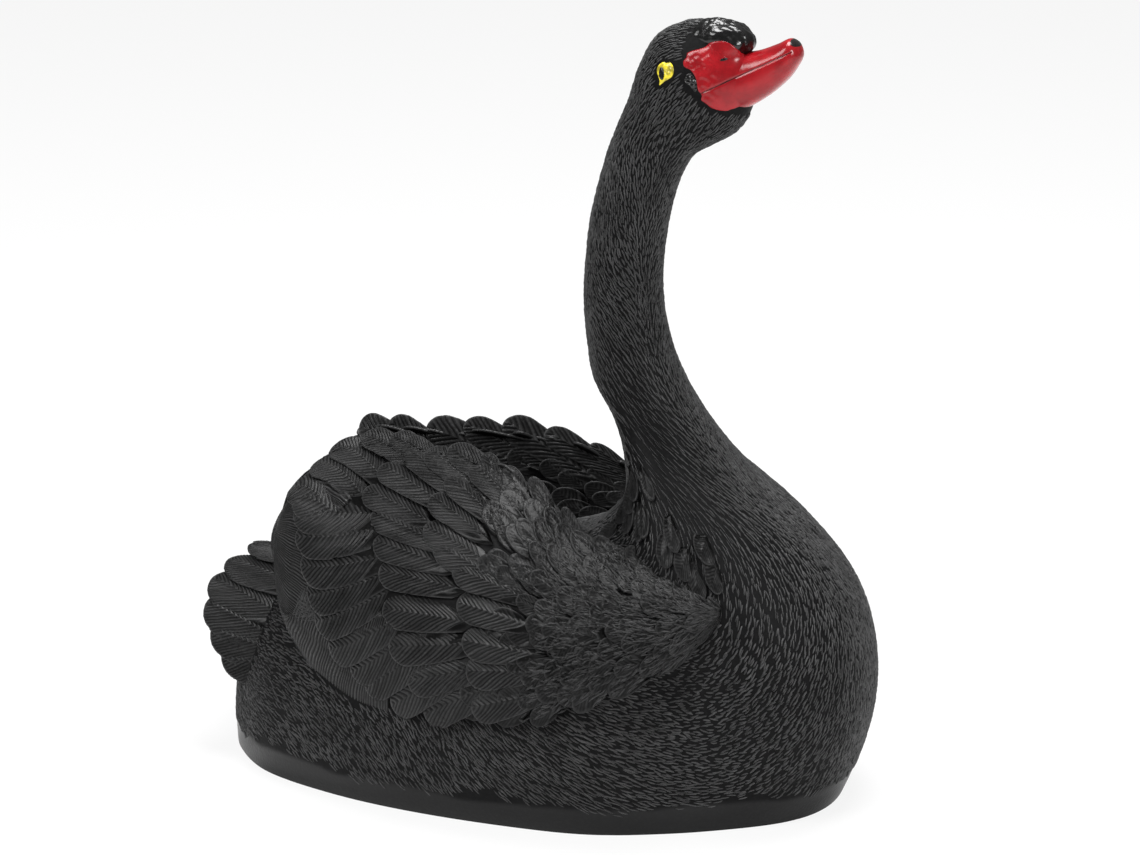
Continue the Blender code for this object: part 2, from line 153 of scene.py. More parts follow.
CAMERA_TURN, CAMERA_RISE = math.radians(20), math.radians(16.72)
CAMERA_DISTANCE, CAMERA_AIM, LENS = 1.4, Vector((0.018, 0, 0.1561)), 100.7
away = Vector((math.sin(CAMERA_TURN) * math.cos(CAMERA_RISE), -math.cos(CAMERA_TURN) * math.cos(CAMERA_RISE),
               math.sin(CAMERA_RISE)))
bpy.ops.object.camera_add(location=CAMERA_AIM + away * CAMERA_DISTANCE)
camera = bpy.context.object
camera.rotation_euler = (-away).to_track_quat("-Z", "Y").to_euler()
camera.data.lens, camera.data.sensor_width = LENS, 36
camera.data.clip_end = 20
bpy.context.scene.camera = camera
bpy.context.scene.view_settings.view_transform = "Standard"

# The body is cast resin with the breast and back in one skin, painted black and varnished to a satin shine.
# Its sections lie across the line of the body: upper inner end (x, z), lower outer end (x, z), half width.
BODY_LENGTH, BODY_WIDTH, BACK_HEIGHT, BODY_FULLNESS = 0.304, 0.176, 0.104, 2.15
NECK_TOP, NECK_WIDTH = (0.0497, 0.2737), 0.0336
HEAD_LENGTH, HEAD_HEIGHT, HEAD_WIDTH = 0.066, 0.062, 0.033
BODY_SECTIONS = [
    ((-0.459, 0.40), (-0.459, 0.20), 0.12), ((-0.443, 0.48), (-0.453, -0.08), 0.27),
    ((-0.408, 0.64), (-0.426, -0.32), 0.47), ((-0.330, 0.84), (-0.352, -0.43), 0.725),
    ((-0.206, 0.93), (-0.230, -0.43), 0.895), ((-0.082, 0.99), (-0.099, -0.43), 0.98),
    ((0.026, 1.04), (0.066, -0.43), 1.00), ((0.092, 1.09), (0.215, -0.43), 0.96),
    ((0.124, 1.16), (0.343, -0.37), 0.83), ((0.148, 1.24), (0.446, -0.15), 0.69),
    ((0.160, 1.33), (0.512, 0.34), 0.69), ((0.158, 1.42), (0.504, 0.76), 0.59),
    ((0.147, 1.53), (0.440, 1.06), 0.44), ((0.128, 1.65), (0.343, 1.31), 0.32)]
NECK_SECTIONS = [
    ((-0.114, -0.530), (0.197, -0.660), 1.34), ((-0.131, -0.440), (0.110, -0.520), 1.16),
    ((-0.140, -0.352), (0.068, -0.395), 1.07), ((-0.138, -0.258), (0.056, -0.270), 1.01),
    ((-0.123, -0.120), (0.069, -0.140), 1.00), ((-0.086, 0.026), (0.095, -0.034), 1.00)]
HEAD_SECTIONS = [
    ((-0.148, 0.290), (0.345, 0.120), 0.99), ((-0.062, 0.510), (0.500, 0.228), 1.00),
    ((0.000, 0.722), (0.615, 0.296), 1.00), ((0.112, 0.935), (0.690, 0.376), 0.96),
    ((0.300, 1.045), (0.738, 0.468), 0.86), ((0.445, 1.050), (0.760, 0.560), 0.74),
    ((0.550, 0.950), (0.745, 0.650), 0.50)]


def smooth_rows(rows, steps):
    """Rows of numbers with more rows between them, on a Catmull-Rom curve through them."""
    rows = np.array(rows, float)
    padded = np.vstack([2 * rows[0] - rows[1], rows, 2 * rows[-1] - rows[-2]])
    found = []
    for i in range(len(rows) - 1):
        before, start, end, after = padded[i:i + 4]
        for t in np.arange(steps) / steps:
            found.append(0.5 * (2 * start + (end - before) * t
                                + (2 * before - 5 * start + 4 * end - after) * t ** 2
                                + (3 * start - before - 3 * end + after) * t ** 3))
    return np.array(found + [rows[-1]])


def sections_in_metres(sections, origin, size, width, fullness):
    return [(origin[0] + back[0] * size[0], origin[1] + back[1] * size[1],
             origin[0] + front[0] * size[0], origin[1] + front[1] * size[1],
             share * width / 2, fullness) for back, front, share in sections]


neck_height = NECK_TOP[1] - BACK_HEIGHT
section_rows = sections_in_metres(BODY_SECTIONS, (0, 0), (BODY_LENGTH, BACK_HEIGHT), BODY_WIDTH, BODY_FULLNESS)
section_rows += sections_in_metres(NECK_SECTIONS, NECK_TOP, (neck_height, neck_height), NECK_WIDTH, 2)
section_rows += sections_in_metres(HEAD_SECTIONS, NECK_TOP, (HEAD_LENGTH, HEAD_HEIGHT), HEAD_WIDTH, 2)
sections = smooth_rows(section_rows, 12)
side_line = np.stack([(sections[:, 0] + sections[:, 2]) / 2, (sections[:, 1] + sections[:, 3]) / 2,
                      sections[:, 4]], axis=-1)
STATIONS = np.concatenate([[0], np.cumsum(np.linalg.norm(np.diff(side_line, axis=0), axis=1))])


def full_round(angle, fullness):
    """Cosines and sines on a rounded outline that is fuller than a circle where fullness is more than 2."""
    return [np.sign(part) * np.abs(part) ** (2 / fullness) for part in (np.cos(angle), np.sin(angle))]


def skin_place(station, angle):
    """Places on the skin: metres along the side from the rump, and angle round from the breast's middle."""
    back_x, back_z, front_x, front_z, half, fullness = [
        np.interp(station, STATIONS, sections[:, column]) for column in range(6)]
    c, s = full_round(angle, fullness)
    return np.stack([(back_x + front_x) / 2 + (front_x - back_x) / 2 * c, half * s,
                     (back_z + front_z) / 2 + (front_z - back_z) / 2 * c], axis=-1)


def waves(places, size, seed):
    """A soft, uneven field between about -1 and 1 whose lumps are about the given size."""
    draw = np.random.default_rng(seed)
    field = 0
    for _ in range(7):
        way = draw.normal(size=3)
        way *= draw.uniform(0.7, 1.4) * 2 * math.pi / (size * np.linalg.norm(way))
        field = field + np.sin(places @ way + draw.uniform(0, 2 * math.pi))
    return field / 3.2


def turned_out(piece, sewn_within=None):
    """Turn a piece's faces outwards, after sewing the vertices that lie within a distance of each other."""
    bpy.ops.object.select_all(action="DESELECT")
    piece.select_set(True)
    bpy.context.view_layer.objects.active = piece
    bpy.ops.object.mode_set(mode="EDIT")
    bpy.ops.mesh.select_all(action="SELECT")
    if sewn_within:
        bpy.ops.mesh.remove_doubles(threshold=sewn_within)
    bpy.ops.mesh.normals_make_consistent(inside=False)
    bpy.ops.object.mode_set(mode="OBJECT")


def sewn(name, places, tags=None):
    """A grid primitive moved to rows of places, its meeting edges sewn and its faces turned outwards."""
    rows, columns = places.shape[:2]
    bpy.ops.mesh.primitive_grid_add(x_subdivisions=columns - 1, y_subdivisions=rows - 1)
    piece = bpy.context.object
    piece.name = piece.data.name = name
    piece.data.vertices.foreach_set("co", places.reshape(-1))
    for tag, values in (tags or {}).items():
        layer = piece.data.attributes.new(tag, "FLOAT", "POINT")
        layer.data.foreach_set("value", values.reshape(-1))
    turned_out(piece, sewn_within=1e-6)
    bpy.ops.object.shade_smooth()
    return piece


def ended(places):
    """Rows of rings with a row drawn to a point before the first and after the last."""
    first = np.repeat(places[:1].mean(axis=1, keepdims=True), places.shape[1], axis=1)
    last = np.repeat(places[-1:].mean(axis=1, keepdims=True), places.shape[1], axis=1)
    return np.concatenate([first, places, last])


def black_paint(name, dark, light, grain, gloss, roughness=0.27, sheen_and_wear=True):
    """Black paint under satin varnish over cast resin, lighter where the mesh is marked as raised: wear and
    painted highlight on crests and rims, and painted shade in the cut lines.
    """
    made, wire = new_material(name)
    place = wire.node("ShaderNodeTexCoord", out="Object")
    broad = wire.noise(place, 55.0, 3.0)
    fine = wire.noise(place, 900.0, 4.0, 0.65)
    speck = wire.node("ShaderNodeTexVoronoi", None, {"Vector": place, "Scale": 700.0})
    bright = broad.between(0.35, 0.72) * 0.12 + fine.between(0.52, 0.78) * 0.16
    if sheen_and_wear:
        # The raised tag lightens crests and rims as wear and painted highlight, and darkens the cut lines as
        # painted shade.
        top = wire.node("ShaderNodeAttribute", {"attribute_name": "raised"}, out="Fac")
        bright = bright * 0.6 + top * (0.42 + broad * 0.45 + fine.between(0.35, 0.70) * 0.50)
    colour = wire.mixed(bright, (dark, dark, dark), (light, light, light * 1.01))
    bumped = wire.bumps(0.55 * grain, 0.0004, fine * 0.6 + speck * 0.4)
    wire.surface({"Base Color": colour, "Roughness": roughness - 0.09 + broad * 0.12 + fine * 0.12,
                  "Normal": bumped, "Specular IOR Level": gloss})
    return made


def finish_piece(piece, material):
    piece.data.materials.clear()
    piece.data.materials.append(material)
    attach(piece, "root")
    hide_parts("swan_casting")
    return piece


BODY_END = 0.400
BAND_TOP_MM = (15.0, 18.5)
skin_black, wire = new_material("skin_black")
place = wire.node("ShaderNodeTexCoord", out="Object")
z_mm = wire.node("ShaderNodeSeparateXYZ", None, {"Vector": place}, out="Z") * 1000
broad = wire.noise(place, 38.0, 2.0)
fine = wire.noise(place, 800.0, 3.0)
band = 1 - (z_mm + broad * 6 + fine * 2).between(*BAND_TOP_MM)
colour = wire.mixed(broad * 0.5 + fine.between(0.4, 0.8) * 0.5,
                    (0.0020, 0.0020, 0.0022), (0.0085, 0.0085, 0.0088))
wire.surface({"Base Color": colour, "Roughness": 0.55 - band * 0.27,
              "Normal": wire.bumps(0.30, 0.0004, fine + broad * 1.5),
              "Specular IOR Level": 0.08, "Coat Weight": band * 0.40, "Coat Roughness": 0.10})
station = np.linspace(0.0006, BODY_END, 120)
angle = np.linspace(0, 2 * math.pi, 161)
body = sewn("body", ended(skin_place(*np.meshgrid(station, angle, indexing="ij"))))
bpy.ops.object.mode_set(mode="EDIT")
bpy.ops.mesh.select_all(action="SELECT")
bpy.ops.mesh.bisect(plane_co=(0, 0, 0), plane_no=(0, 0, 1), use_fill=True, clear_inner=True)
bpy.ops.object.mode_set(mode="OBJECT")
bpy.ops.object.shade_smooth_by_angle(angle=math.radians(40))
finish_piece(body, skin_black)

# The neck and the head carry on the same skin from the breast to the face, in the same casting.
# They meet the body on a ring that both share.
station = np.linspace(BODY_END - 0.004, STATIONS[-1], 120)
angle = np.linspace(0, 2 * math.pi, 97)
neck = sewn("neck_and_head", ended(skin_place(*np.meshgrid(station, angle, indexing="ij"))))
bpy.ops.object.shade_smooth_by_angle(angle=math.radians(60))
finish_piece(neck, skin_black)

# The wings are two raised shells in the same casting, arched outside and hollowed to the valley between them.
# Sections from rear to front: share of the length, lower edge, ridge, bulge, foot of the inner side.
WING_LENGTH, WING_HEIGHT = 0.212, 0.096
WING_FRONT_X, WING_FOOT_Z = 0.349 * BODY_LENGTH, 0.519 * BACK_HEIGHT
WING_RIM_THICKNESS, WING_RIDGE_THICKNESS = 0.0075, 0.0060
WING_SECTIONS = [
    (0.000, (0.524, 0.400), (0.363, 0.700), 0.030, (0.386, 0.480)),
    (0.030, (0.614, 0.240), (0.250, 0.795), 0.083, (0.250, 0.375)),
    (0.085, (0.705, 0.094), (0.159, 0.860), 0.135, (0.136, 0.354)),
    (0.155, (0.795, -0.021), (0.113, 0.890), 0.188, (0.069, 0.375)),
    (0.250, (0.887, -0.083), (0.125, 0.905), 0.229, (0.057, 0.417)),
    (0.368, (0.955, -0.073), (0.205, 0.900), 0.240, (0.069, 0.458)),
    (0.486, (1.000, -0.052), (0.296, 0.885), 0.219, (0.113, 0.500)),
    (0.580, (1.011, -0.021), (0.386, 0.820), 0.188, (0.205, 0.542)),
    (0.679, (1.000, 0.031), (0.489, 0.700), 0.146, (0.341, 0.563)),
    (0.792, (0.965, 0.125), (0.556, 0.640), 0.115, (0.432, 0.563)),
    (0.887, (0.875, 0.219), (0.602, 0.600), 0.083, (0.478, 0.521)),
    (0.960, (0.751, 0.344), (0.625, 0.553), 0.042, (0.500, 0.500)),
    (1.000, (0.659, 0.450), (0.636, 0.505), 0.010, (0.567, 0.480))]
wing_rows = smooth_rows([(share, *low, *ridge, bulge, *foot)
                         for share, low, ridge, bulge, foot in WING_SECTIONS], 6)


def wing_section(share):
    """Lower edge, ridge, bulge and inner foot at shares of the wing's length, in metres."""
    low_y, low_z, ridge_y, ridge_z, bulge, foot_y, foot_z = [
        np.interp(share, wing_rows[:, 0], wing_rows[:, column]) for column in range(1, 8)]
    half = BODY_WIDTH / 2
    return (np.stack([low_y * half, low_z * WING_HEIGHT], axis=-1),
            np.stack([ridge_y * half, ridge_z * WING_HEIGHT], axis=-1),
            bulge * WING_HEIGHT, np.stack([foot_y * half, foot_z * WING_HEIGHT], axis=-1))


def wing_place(share, turn, proud=0.0, inner=False):
    """Places on the left wing: turn is 0 at its lower edge, 1 at its ridge and 2 at the inner foot."""
    share, turn, proud = np.broadcast_arrays(np.asarray(share, float), turn, proud)
    low, ridge, bulge, foot = wing_section(share)
    chord = foot - ridge if inner else ridge - low
    length = np.maximum(np.linalg.norm(chord, axis=-1), 1e-6)[..., None]
    outward = np.stack([chord[..., 1], -chord[..., 0]], axis=-1) / length
    if inner:
        place, normal = ridge + chord * (turn - 1)[..., None], outward
    else:
        past = turn > 1
        place = low + chord * turn[..., None] + outward * (
            bulge * 4 * np.where(past, 0.3 * (1 - turn), turn * (1 - turn)))[..., None]
        slope = (bulge * 4 * np.where(past, -0.3, 1 - 2 * turn))[..., None] / length
        normal = outward - chord / length * slope
        normal = normal / np.linalg.norm(normal, axis=-1, keepdims=True)
    place = place + normal * proud[..., None]
    return np.stack([WING_FRONT_X - (1 - share) * WING_LENGTH, place[..., 0],
                     WING_FOOT_Z + place[..., 1]], axis=-1)


def mirrored(name, places, tags=None):
    """The left side's places sewn as they are, and again for the right side."""
    left = sewn(name + "_left", places, tags)
    right = sewn(name + "_right", places * np.array([1, -1, 1]), tags)
    return left, right


WING_SUNK = 0.0006
share = np.linspace(0.004, 0.998, 90)
outside = [wing_place(share, turn, -WING_SUNK) for turn in np.linspace(0, 1, 25)]
inside = [wing_place(share, turn, WING_RIDGE_THICKNESS / 2 - WING_SUNK, inner=True)
          for turn in np.linspace(1.1, 2, 10)]
under = outside[0] + np.array([0, -WING_RIM_THICKNESS, 0.4 * WING_RIM_THICKNESS])
wing_rings = np.stack(outside + inside + [under, outside[0]], axis=1)
for wing in mirrored("wing", ended(wing_rings)):
    finish_piece(wing, skin_black)

# A thin band of grown-together feathers shows past the long ones along the wing's rear edge.
# Its short lines are cut square to the edge.
RIM_EDGE = [(0.330, -0.05), (0.231, -0.04), (0.155, -0.02), (0.089, -0.02), (0.042, -0.03), (0.012, 0.02),
            (-0.004, 0.16), (-0.010, 0.38), (-0.006, 0.60), (0.004, 0.78), (0.024, 0.90)]
RIM_WIDTH, RIM_MIDDLE = 0.034, (0.42, 0.55)
RIM_THICKNESS, RIM_LINE_DEPTH, RIM_LINE_PITCH = 0.0022, 0.00050, 0.00145
GIRTH = 0.085
rim_satin = black_paint("rim_black", dark=0.0010, light=0.052, grain=0.5, gloss=0.12)
edge = smooth_rows(RIM_EDGE, 60)
across = np.linspace(0, 1, 13)
size = np.array([WING_LENGTH, GIRTH])
inward = (np.array(RIM_MIDDLE) - edge) * size
inward /= np.linalg.norm(inward, axis=1, keepdims=True)
heading = np.gradient(edge * size, axis=0)
heading /= np.linalg.norm(heading, axis=1, keepdims=True)
square = np.stack([-heading[:, 1], heading[:, 0]], axis=1)
square *= np.sign((square * inward).sum(axis=1, keepdims=True))
inward = (inward * 0.4 + square * 0.6) / size
steps = np.linalg.norm(np.diff(edge * size, axis=0), axis=1)
travelled = np.concatenate([[0], np.cumsum(steps)])[:, None]
depth = (1 - across[None, :]) * RIM_WIDTH
band = edge[:, None, :] + inward[:, None, :] * depth[..., None]
wander = travelled / RIM_LINE_PITCH + 0.3 * np.sin(travelled * 500) + 0.2 * np.sin(depth * 600)
lines = 0.5 + 0.5 * np.cos(2 * math.pi * wander)
dome = RIM_THICKNESS * (1 - across ** 6) ** 0.5
upper = wing_place(band[..., 0], band[..., 1], dome - WING_SUNK - RIM_LINE_DEPTH * lines)
lower = wing_place(band[:, ::-1, 0], band[:, ::-1, 1], -RIM_THICKNESS + 0 * lines)
rim_rings = np.concatenate([upper, lower[:, 1:], upper[:, :1]], axis=1)
# The band is painted lighter between its cut lines and at its outer edge, as wear and painted highlight, and
# dark in the cut lines, as painted shade.
rim_tag = np.maximum(0.80 * (1 - lines) ** 2, across[None, :] ** 12)
rim_tag = np.concatenate([rim_tag, 0 * lower[:, 1:, 0], 0 * upper[:, :1, 0]], axis=1)
rim_tag = np.concatenate([rim_tag[:1], rim_tag, rim_tag[-1:]])
for band_piece in mirrored("wing_rim", ended(rim_rings), {"raised": rim_tag}):
    finish_piece(band_piece, rim_satin)

# The long feathers lie in three tiers on each wing, modelled in wax and cast with the body.
# Each has a raised quill and slanting cut lines, its root is sunk and its rounded tip stands proud.
FEATHER_PROUD, FEATHER_TILT = 0.0031, 0.18
SIDES = ((1, "left"), (-1, "right"))
# Each tier has its tips from the lower edge to the ridge, as share, turn and the degrees that the quill drops
# to the front, then how many feathers, their length and width, and how much of that length isn't covered.
LONG_ROWS = [
    ([(0.335, 0.02, -29), (0.235, 0.10, -25), (0.165, 0.17, -28), (0.105, 0.26, -25), (0.070, 0.40, -17),
      (0.045, 0.60, -5), (0.026, 0.78, 14), (0.018, 0.92, 26), (0.055, 1.02, 32), (0.120, 1.06, 27),
      (0.200, 1.05, 22), (0.290, 1.02, 19)], 17, 0.062, 0.0160, 0.044),
    ([(0.410, 0.02, -20), (0.370, 0.13, -16), (0.335, 0.24, -8), (0.315, 0.38, 0), (0.285, 0.52, 4),
      (0.235, 0.66, 8), (0.190, 0.80, 16), (0.230, 0.98, 24), (0.350, 1.05, 20)], 12, 0.050, 0.0160, 0.040),
    ([(0.535, 0.05, -12), (0.510, 0.18, -7), (0.490, 0.32, -2), (0.480, 0.46, 3), (0.430, 0.58, 9),
      (0.350, 0.70, 15), (0.340, 0.86, 20), (0.400, 1.00, 22)], 10, 0.042, 0.0155, 0.032),
]
LONG_PROFILE = [(0, 1.10), (0.35, 1.00), (0.65, 0.72), (0.88, 0.34), (1, -0.10)]
SCALE_PROFILE = [(0, 0.45), (0.50, 0.30), (0.78, 0.22), (0.90, 0.62), (1, 0.10)]


def along(points, share):
    """The place at a share of the way along a run of points given as share, turn and anything more."""
    points = np.array(points, float)
    steps = np.linalg.norm(np.diff(points[:, :2] * [WING_LENGTH, GIRTH], axis=0), axis=1)
    reached = np.concatenate([[0.0], np.cumsum(steps)])
    return [np.interp(share * reached[-1], reached, points[:, column]) for column in range(points.shape[1])]


def feather_half(back, length, width, round_end):
    """Half width at distances back from the tip: a round end, parallel sides and a narrow root."""
    run = 1 - back / length
    before_end = 1 - round_end * width / length
    sides = 0.35 + 0.65 * np.sin(math.pi / 2 * np.clip(run / before_end, 0, 1))
    end = np.sqrt(np.clip(1 - ((run - before_end) / (1 - before_end)) ** 2, 0, 1))
    return np.where(back < 0, 0, width / 2 * np.where(run > before_end, end, sides))


def flat_feather(name, length, width, shown, seed, scale=False):
    """One feather lying flat, its tip at the origin, its root along +X and its mesh rows along its cuts."""
    draw = np.random.default_rng(seed)
    if scale:
        slant, pitch, cut, samples, round_end = math.radians(40), 0.00130, 0.00034, 2, 0.66
        columns, profile, quill_height = (0, 0.14, 0.5, 0.8, 0.92, 1), SCALE_PROFILE, 0.00030
    else:
        slant, pitch, cut, samples, round_end = math.radians(draw.uniform(29, 35)), 0.00142, 0.00062, 4, 0.60
        columns, profile, quill_height = (0, 0.055, 0.2, 0.4, 0.6, 0.8, 0.93, 1), LONG_PROFILE, 0.00055
    step = pitch / math.sin(slant) / samples
    quill = np.concatenate([np.arange(0, shown, step), np.linspace(shown, length, 4)])
    low, high = np.zeros(len(quill)), np.full(len(quill), width)
    for _ in range(30):
        middle = (low + high) / 2
        half = feather_half(quill - middle * math.cos(slant), length, width, round_end)
        inside = half > middle * math.sin(slant)
        low, high = np.where(inside, middle, low), np.where(inside, high, middle)
    line = (np.arange(len(quill)) // samples).astype(int)
    notch = draw.uniform(0, 0.03, line[-1] + 1) + 0.05 * (draw.uniform(0, 1, line[-1] + 1) > 0.92)
    depth = draw.uniform(0.6, 1.15, line[-1] + 1)[line] * (quill < shown - step)
    reach = low * (1 - notch[line] * np.clip(quill / 0.004, 0, 1))
    groove = np.array([1, 0.25, 0, 0.25] if samples == 4 else [1, 0])[np.arange(len(quill)) % samples]
    share = np.array([-column for column in columns[:0:-1]] + list(columns))
    back = quill[:, None] - np.abs(share)[None, :] * reach[:, None] * math.cos(slant)
    aside = share[None, :] * reach[:, None] * math.sin(slant)
    end = round_end * width
    half = np.maximum(feather_half(np.maximum(back, end), length, width, round_end), 1e-4)
    outness = np.clip(np.sqrt(np.clip((end - back) / end, 0, 1) ** 2 + (aside / half) ** 2), 0, 1)
    rise = np.interp(outness, *np.transpose(profile)) / 1000
    ridge = quill_height * np.exp(-(aside / (0.045 * width)) ** 2)
    rise = rise + ridge * np.clip((back - 0.002) / 0.004, 0, 1)
    faded = np.clip((1 - outness) / 0.10, 0.3, 1) * np.clip(back / 0.002, 0, 1)
    rise = rise - cut * groove[:, None] * depth[:, None] * faded
    back = back - 0.0004 * np.sin(aside * 900 + draw.uniform(0, 6)) * np.clip((1 - outness) * 4, 0, 1)
    under = []
    for side in (0.9, 0, -0.9):
        column = 0 if side < 0 else -1
        spots = (back[:, column], aside[:, column] * 0.93) if side else (quill, 0 * quill)
        under.append(np.stack([*spots, -0.0013 - 0.0005 * (side == 0) + 0 * quill], axis=-1))
    rings = np.concatenate([np.stack([back, aside, rise], axis=-1), np.stack(under, axis=1)], axis=1)
    rings = np.concatenate([rings, rings[:, :1]], axis=1)
    rings[0] = rings[0, len(share) // 2] * [1, 1, 0]
    rings[-1] = rings[-1].mean(axis=0)
    # Each feather is painted lighter on the barbs between its cuts and round its rim, as wear and painted
    # highlight, and dark in the cuts and where the next feather covers it, as painted shade.
    raised = draw.uniform(0.35, 0.75, line[-1] + 1)[line] * (1 - groove * np.clip(depth, 0, 1)) ** 3
    raised = raised[:, None] * (quill < shown)[:, None] + 0 * outness
    raised = np.maximum(raised, np.exp(-((1 - outness) * half / 0.0005) ** 2))
    raised = np.concatenate([raised, np.zeros((len(quill), 3)), raised[:, :1]], axis=1)
    return sewn(name, rings, {"raised": raised})


def places_of(piece):
    """The places of a piece's vertices, a row for each."""
    places = np.empty(len(piece.data.vertices) * 3)
    piece.data.vertices.foreach_get("co", places)
    return places.reshape(-1, 3)


def copied(pattern, places, mirror=False):
    """A copy of a pattern with its own mesh, moved to places, its faces turned over if those mirror it."""
    piece = pattern.copy()
    piece.data = pattern.data.copy()
    bpy.context.collection.objects.link(piece)
    piece.data.vertices.foreach_set("co", places.reshape(-1))
    if mirror:
        piece.data.flip_normals()
    return piece


def thrown_away(patterns):
    for pattern in patterns:
        bpy.data.objects.remove(pattern, do_unlink=True)


def laid(pattern, side, share, turn, angle, length, lift, tilt, inner=False, grown=1.0):
    """A copy of a flat feather bent on to a wing, its tip at a share and turn and its root to the front."""
    back, aside, height = (places_of(pattern) * [grown, grown, 1]).T
    if inner:
        span = 0.045
    else:
        low, ridge, _, _ = wing_section(np.array(share))
        span = max(np.linalg.norm(ridge - low), 0.3 * WING_HEIGHT)
    at_share = share + (back * math.cos(angle) + aside * math.sin(angle)) / WING_LENGTH
    at_turn = turn - (back * math.sin(angle) - aside * math.cos(angle)) / span
    run = 1 - back / (length * grown)
    height = height + lift * (run - 0.35) - tilt * aside
    if inner:
        height = height + WING_RIDGE_THICKNESS / 2
    places = wing_place(np.minimum(at_share, 1.0), at_turn, height, inner)
    return copied(pattern, places * [1, side, 1], mirror=side < 0)


def joined(name, pieces):
    bpy.ops.object.select_all(action="DESELECT")
    for piece in pieces:
        piece.select_set(True)
    bpy.context.view_layer.objects.active = pieces[0]
    bpy.ops.object.join()
    pieces[0].name = pieces[0].data.name = name
    return pieces[0]


feather_black = black_paint("feather_black", dark=0.0010, light=0.046, grain=0.5, gloss=0.12)
for tier, (curve, count, length, width, shown) in enumerate(LONG_ROWS):
    patterns = [flat_feather("feather_pattern", length, width, shown, 40 + 3 * tier + k) for k in range(3)]
    for side, side_name in SIDES:
        draw = np.random.default_rng(7 + tier)
        pieces = []
        for i in range(count):
            share, turn, drop = along(curve, i / (count - 1))
            angle = math.radians(drop + draw.uniform(-4, 4))
            grown = 0.80 if tier == 0 and turn > 0.85 else 1.0
            at = share + draw.uniform(-0.012, 0.012)
            turn += draw.uniform(-0.01, 0.01)
            pieces.append(laid(patterns[i % 3], side, at, turn, angle, length, FEATHER_PROUD, FEATHER_TILT,
                               grown=grown))
        finish_piece(joined("long_feathers_%d_%s" % (tier + 1, side_name), pieces), feather_black)
    thrown_away(patterns)

# Small rounded feathers cover the rest of each wing like scales, out to the shoulder.
# Their edges are raised, and fine lines fan from each root.
SCALE_ROWS = np.linspace(0.440, 0.970, 15)
SCALE_LENGTH, SCALE_WIDTH, SCALE_SPACING = 0.021, 0.0118, 0.0094
# Degrees that a quill drops to the front at the lower edge, and how much less it drops at the ridge.
SCALE_DROP, SCALE_TURNED = -18, 46
scale_black = black_paint("scale_black", dark=0.0010, light=0.032, grain=0.7, gloss=0.10)
scale_patterns = [flat_feather("scale_pattern", SCALE_LENGTH, SCALE_WIDTH, 0.0150, 80 + k, scale=True)
                  for k in range(4)]
for side, side_name in SIDES:
    draw = np.random.default_rng(23)
    pieces = []
    for row, share in enumerate(SCALE_ROWS):
        low, ridge, bulge, _ = wing_section(np.array(share))
        chord = np.linalg.norm(ridge - low)
        span = chord * (1 + 2.2 * (bulge / chord) ** 2)
        count = max(int(span / SCALE_SPACING), 2)
        for i in range(count + 2):
            turn = (i + 0.5 * (row % 2)) / count + draw.uniform(-0.03, 0.03)
            if turn > 1.10:
                continue
            at = share + draw.uniform(-0.014, 0.014)
            if at < 0.375 + 0.16 * (1 - abs(turn - 0.35)):
                continue
            angle = math.radians(SCALE_DROP + SCALE_TURNED * min(max(turn, 0), 1) + draw.normal(0, 14))
            pattern = scale_patterns[draw.integers(4)]
            lift, tilt = draw.uniform(0.0012, 0.0028), draw.uniform(-0.08, 0.12)
            pieces.append(laid(pattern, side, at, turn, angle, SCALE_LENGTH, lift, tilt,
                               grown=draw.uniform(0.78, 1.15)))
    finish_piece(joined("covert_scales_" + side_name, pieces), scale_black)

# Broader rounded feathers line the inner side of each wing, down to the back.
# They are cast with it, in rows of four from the ridge to the inner foot.
INNER_ANGLE = math.radians(-35)
for side, side_name in SIDES:
    draw = np.random.default_rng(29)
    pieces = []
    for row, share in enumerate(np.linspace(0.10, 0.97, 17)):
        for i in range(4):
            turn = 1.12 + (i + 0.5 * (row % 2)) * 0.20 + draw.uniform(-0.03, 0.03)
            angle = INNER_ANGLE + math.radians(draw.normal(0, 12))
            pattern = scale_patterns[draw.integers(4)]
            at = share + draw.uniform(-0.012, 0.012)
            lift, tilt = draw.uniform(0.0012, 0.0030), draw.uniform(-0.12, 0.05)
            pieces.append(laid(pattern, side, at, turn, angle, SCALE_LENGTH, lift, tilt, True,
                               draw.uniform(0.9, 1.2)))
    finish_piece(joined("inner_scales_" + side_name, pieces), scale_black)
thrown_away(scale_patterns)

# A row of feathers leans over each wing's ridge from its inner side, with their rounded tips above it.
# They are cast with the wing, and the left wing's are more, larger and stand higher.
RIDGE_LENGTH, RIDGE_WIDTH, RIDGE_LAST = 0.046, 0.0108, 0.72
RIDGE_SIDES = [  # side, how many, share of the first, turn of the tips, lift, tilt, and least and most size
    (1, "left", 9, 0.10, 0.81, 0.0026, -0.12, (1.2, 1.45)), (-1, "right", 6, 0.30, 1.02, 0.0016, 0.02, None)]
ridge_patterns = [flat_feather("ridge_pattern", RIDGE_LENGTH, RIDGE_WIDTH, 0.034, 120 + k) for k in range(3)]
for side, side_name, count, first, tips, lift, tilt, sizes in RIDGE_SIDES:
    draw = np.random.default_rng(31)
    pieces = []
    for i, share in enumerate(np.linspace(first, RIDGE_LAST, count)):
        turn = tips + draw.uniform(-0.05, 0.05) + 0.16 * max(share - 0.4, 0)
        at = share + draw.uniform(-0.012, 0.012)
        angle = math.radians(-24 + draw.uniform(-8, 8))
        grown = draw.uniform(*sizes) if sizes else 0.9
        pieces.append(laid(ridge_patterns[i % 3], side, at, turn, angle, RIDGE_LENGTH, lift, tilt, True,
                           grown))
    finish_piece(joined("ridge_feathers_" + side_name, pieces), feather_black)
thrown_away(ridge_patterns)

# Fine plumage is cut over neck, breast, flanks, head and wings as thousands of short raised hairs.
# They flow from the head down the neck and round the breast, and stop at a ragged line above the base.
STROKE_STEP = 0.025
